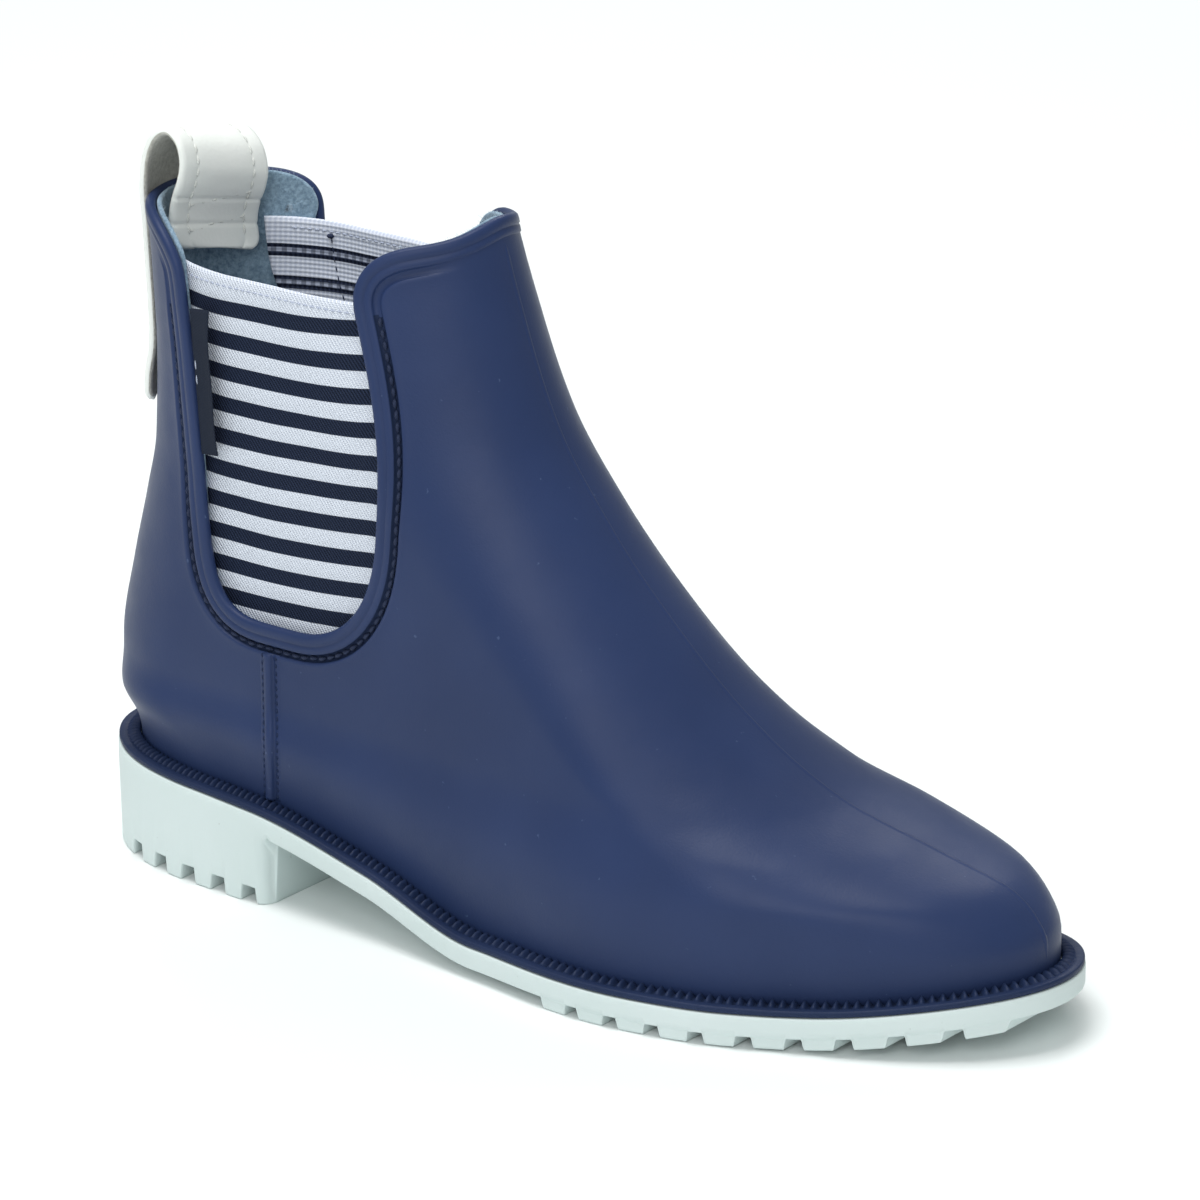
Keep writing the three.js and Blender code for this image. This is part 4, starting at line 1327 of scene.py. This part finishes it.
def strap_path(y):
    """Middle line (x, z) of the strap at y across it, from its outer end over the loop to its inner end."""
    far = (y + STRAP_HALF) / (2 * STRAP_HALF)
    curl = [1.6 * (1 - 0.4 * far) * float(ease((130 - z) / 12)) for z in STRAP_LEG]
    outer = [(float(back_x(y, z)) - 1.5 - out, z) for z, out in zip(STRAP_LEG, curl)]
    x0 = float(back_x(y, 163.0)) - 1.6
    edge_x = float(back_x(STRAP_HALF, 163.0)) - 1.6
    roll = 5.6 * far
    turned = [(x0 + (edge_x - x0) * share + reach + 3.6 * far * share, z - roll * part)
              for share, reach, z, part in STRAP_TURN]
    return smooth_path(outer + turned, 220)


STITCH_Y = 9.0
HALF_YS = [2.5, 5, 7.6, 8.7, STITCH_Y, 9.3, 10.0, 11.2, 12.6, 13.6, STRAP_HALF]
STRAP_YS = np.array([-y for y in HALF_YS[::-1]] + [0] + HALF_YS)
MIDDLE = len(HALF_YS)
STITCHED = np.arange(4, 19)
STRAP_END_ROUND = 3.0
STRAP_EDGE_ROUND = 1.0
STRAP_HALF_THICK = 1.0
FELT_SHARE = 0.25
CROSS_SEAMS = (163.2, 156.4)


def make_strap():
    """One strap from its outer end over the loop to its inner end, padded between its stitch rows."""
    middle = []
    for y in STRAP_YS:
        path = strap_path(y)
        middle.append(np.stack([path[:, 0], np.full(len(path), y), path[:, 1]], -1))
    middle = np.array(middle)
    run = np.linspace(0, 1, middle.shape[1])
    length = np.linalg.norm(np.diff(middle[MIDDLE], axis=0), axis=1).sum()
    from_end = np.minimum(run, 1 - run) * length
    cut = np.clip(STRAP_END_ROUND - from_end, 0, STRAP_END_ROUND)
    pinch = STRAP_END_ROUND - np.sqrt(np.maximum(STRAP_END_ROUND**2 - cut**2, 0))
    middle[:, :, 1] *= (STRAP_HALF - pinch)[None] / STRAP_HALF
    normal = unit(np.cross(np.gradient(middle, axis=1), np.gradient(middle, axis=0)))

    from_middle = np.abs(STRAP_YS)
    seam = np.exp(-((from_middle - STITCH_Y) / 0.45) ** 2)
    seam_depth = 0.22 * seam[:, None] * np.ones(len(run))[None]
    on_inner = run > 0.7
    for z in CROSS_SEAMS:
        seam_depth += 0.3 * np.exp(-((middle[MIDDLE, :, 2] - z) / 0.5) ** 2)[None] * on_inner[None]
    pillow = 0.18 * np.cos(np.clip(from_middle / STITCH_Y, 0, 1) * math.pi / 2)
    edge = np.clip((STRAP_HALF - from_middle) / STRAP_EDGE_ROUND, 0, 1)
    rounding = 1 - np.sqrt(1 - (1 - edge) ** 2)
    lift = STRAP_HALF_THICK - seam_depth + pillow[:, None] - rounding[:, None] * 0.9
    outer = middle + normal * lift[..., None]
    inner = middle - normal * (STRAP_HALF_THICK * (1 - rounding * 0.6))[:, None, None]
    split = middle - normal * (FELT_SHARE * STRAP_HALF_THICK)
    shape = Shape()
    shape.grid(outer)
    for k in (0, -1):
        shape.grid([outer[k], split[k]])
    for k in (0, -1):
        shape.grid([split[k], inner[k]], mark=1)
    shape.grid(inner, mark=1)
    for k in (0, -1):
        shape.grid([outer[:, k], split[:, k]])
        shape.grid([split[:, k], inner[:, k]], mark=1)
    strap = make_piece("pull_strap", shape, [strap_look, felt_look])

    threads = Shape()
    for row in np.flatnonzero(from_middle == STITCH_Y):
        ups = normal[row, 6:-6]
        stitches(threads, middle[row, 6:-6] + ups * 0.92, ups, 2.3, 0.7, 0.3)
    for z in CROSS_SEAMS:
        picks = np.argmin(np.abs(middle[STITCHED, :, 2] - z) + 100 * ~on_inner, axis=1)
        ups = normal[STITCHED, picks]
        stitches(threads, middle[STITCHED, picks] + ups * 0.9, ups, 2.3, 0.7, 0.3)
    thread = make_piece("pull_strap_stitching", threads, [white_thread], weld=0)

    for piece in (strap, thread):
        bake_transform(piece)
    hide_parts("pull_strap_outer_end", "pull_loop", "pull_strap_inner_end")


make_strap()

# ---- label

LABEL_TOP = 6.6
LABEL_HALF_THICK = 0.34
LABEL_STITCH_ROWS = slice(18, 27)


def make_label():
    """Woven tag sewn by its rear edge, folded over double and standing a little off the panel."""
    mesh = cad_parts["flag_label"].data
    corners = np.array([v.co for v in mesh.vertices]) / MM - SHIFT
    low_z, high_z = corners[:, 2].min(), corners[:, 2].max()
    top = corners[corners[:, 2] > high_z - 2]
    foot = corners[corners[:, 2] < low_z + 2]

    def ends(points):
        order = np.argsort(points[:, 0])
        half = len(points) // 2
        return points[order[:half]].mean(0), points[order[half:]].mean(0)

    top_rear, top_front = ends(top)
    top_front = top_rear + unit(top_front - top_rear) * min(np.linalg.norm(top_front - top_rear), LABEL_TOP)
    foot_rear, foot_front = ends(foot)
    along, up = (share[..., None] for share in np.meshgrid(np.linspace(0, 1, 15), np.linspace(0, 1, 40)))
    rear = foot_rear * (1 - up) + top_rear * up
    front = foot_front * (1 - up) + top_front * up
    normal = unit(np.cross(top_front - top_rear, top_rear - foot_rear))
    if normal[1] > 0:
        normal = -normal
    wave = 0.3 * np.sin(up * 9 + 0.6) * along + 1.1 * along**2 * (0.35 + np.sin(math.pi * up))
    middle = rear * (1 - along) + front * along + normal * wave
    thick = LABEL_HALF_THICK * (1 - 0.75 * np.clip((along - 0.85) / 0.15, 0, 1) ** 2)
    shape = Shape()
    front_face, back_face = middle + normal * thick, middle - normal * thick
    shape.grid(front_face)
    shape.grid(back_face)
    for k in (0, -1):
        shape.grid([front_face[k], back_face[k]])
    for k in (0, -1):
        shape.grid([front_face[:, k], back_face[:, k]])
    settle(make_piece("side_label", shape, [label_look]), "label", "label_weave", "flag_label")
    thread = Shape()
    edge = front_face[LABEL_STITCH_ROWS, 1]
    stitches(thread, edge, np.broadcast_to(normal, edge.shape), 1.6, 0.9, 0.2)
    settle(make_piece("side_label_stitching", thread, [hem_thread], weld=0), "label", "label_weave")


make_label()

# ---- nodes that stay as packed

for name, material in (("heel_core", filler_look), ("insole_board", board_look)):
    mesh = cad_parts[name].data
    mesh.materials.clear()
    mesh.materials.append(material)

# ---- floor, light and camera


def make_floor():
    mesh = bpy.data.meshes.new("floor")
    half = 6.0
    mesh.from_pydata([(-half, -half, 0), (half, -half, 0), (half, half, 0), (-half, half, 0)], [], [(0, 1, 2, 3)])
    mesh.materials.append(look(
        "pale_floor", lambda t: mix(t, noise(t, 3, 2), (0.89, 0.92, 0.915), (0.90, 0.93, 0.925)), 0.7, None,
        Specular_IOR_Level=0.2))
    floor = bpy.data.objects.new("floor", mesh)
    bpy.context.scene.collection.objects.link(floor)


def make_light(name, place, target, size, power):
    light = bpy.data.lights.new(name, "AREA")
    light.shape = "RECTANGLE"
    light.size, light.size_y = size
    light.energy = power
    lamp = bpy.data.objects.new(name, light)
    bpy.context.scene.collection.objects.link(lamp)
    lamp.location = place
    lamp.rotation_mode = "QUATERNION"
    lamp.rotation_quaternion = (Vector(target) - Vector(place)).to_track_quat("-Z", "Y")


def make_camera():
    azimuth, elevation, distance = math.radians(36.973), math.radians(19.603), 1.861
    target = Vector((0.0018, -FOOT_MIDDLE * MM, 0.0816))
    flat = math.cos(elevation)
    back = Vector((math.sin(azimuth) * flat, -math.cos(azimuth) * flat, math.sin(elevation)))
    data = bpy.data.cameras.new("camera")
    data.sensor_width = 36
    data.lens = 237.63
    data.shift_x = 0.01733
    data.shift_y = 0.00775
    data.clip_start, data.clip_end = 0.05, 30
    camera = bpy.data.objects.new("camera", data)
    bpy.context.scene.collection.objects.link(camera)
    camera.location = target + back * distance
    camera.rotation_mode = "QUATERNION"
    camera.rotation_quaternion = (-back).to_track_quat("-Z", "Y")
    bpy.context.scene.camera = camera


make_floor()
make_camera()
make_light("key", (-0.2, -0.25, 1.5), (0.03, 0, 0.06), (0.9, 0.8), 16)
make_light("front", (0.6, -1.3, 0.9), (0.03, 0, 0.06), (1.0, 0.8), 8)
make_light("left", (-1.3, -0.7, 0.8), (0, 0, 0.08), (0.8, 1.0), 0.3)
make_light("rear", (-0.7, 1.2, 1.3), (0, 0, 0.1), (1.0, 0.7), 8)

world = bpy.data.worlds.new("studio")
world.use_nodes = True
world.node_tree.nodes["Background"].inputs["Color"].default_value = (0.955, 0.99, 0.985, 1)
world.node_tree.nodes["Background"].inputs["Strength"].default_value = 0.42
bpy.context.scene.world = world
bpy.context.scene.view_settings.view_transform = "Standard"
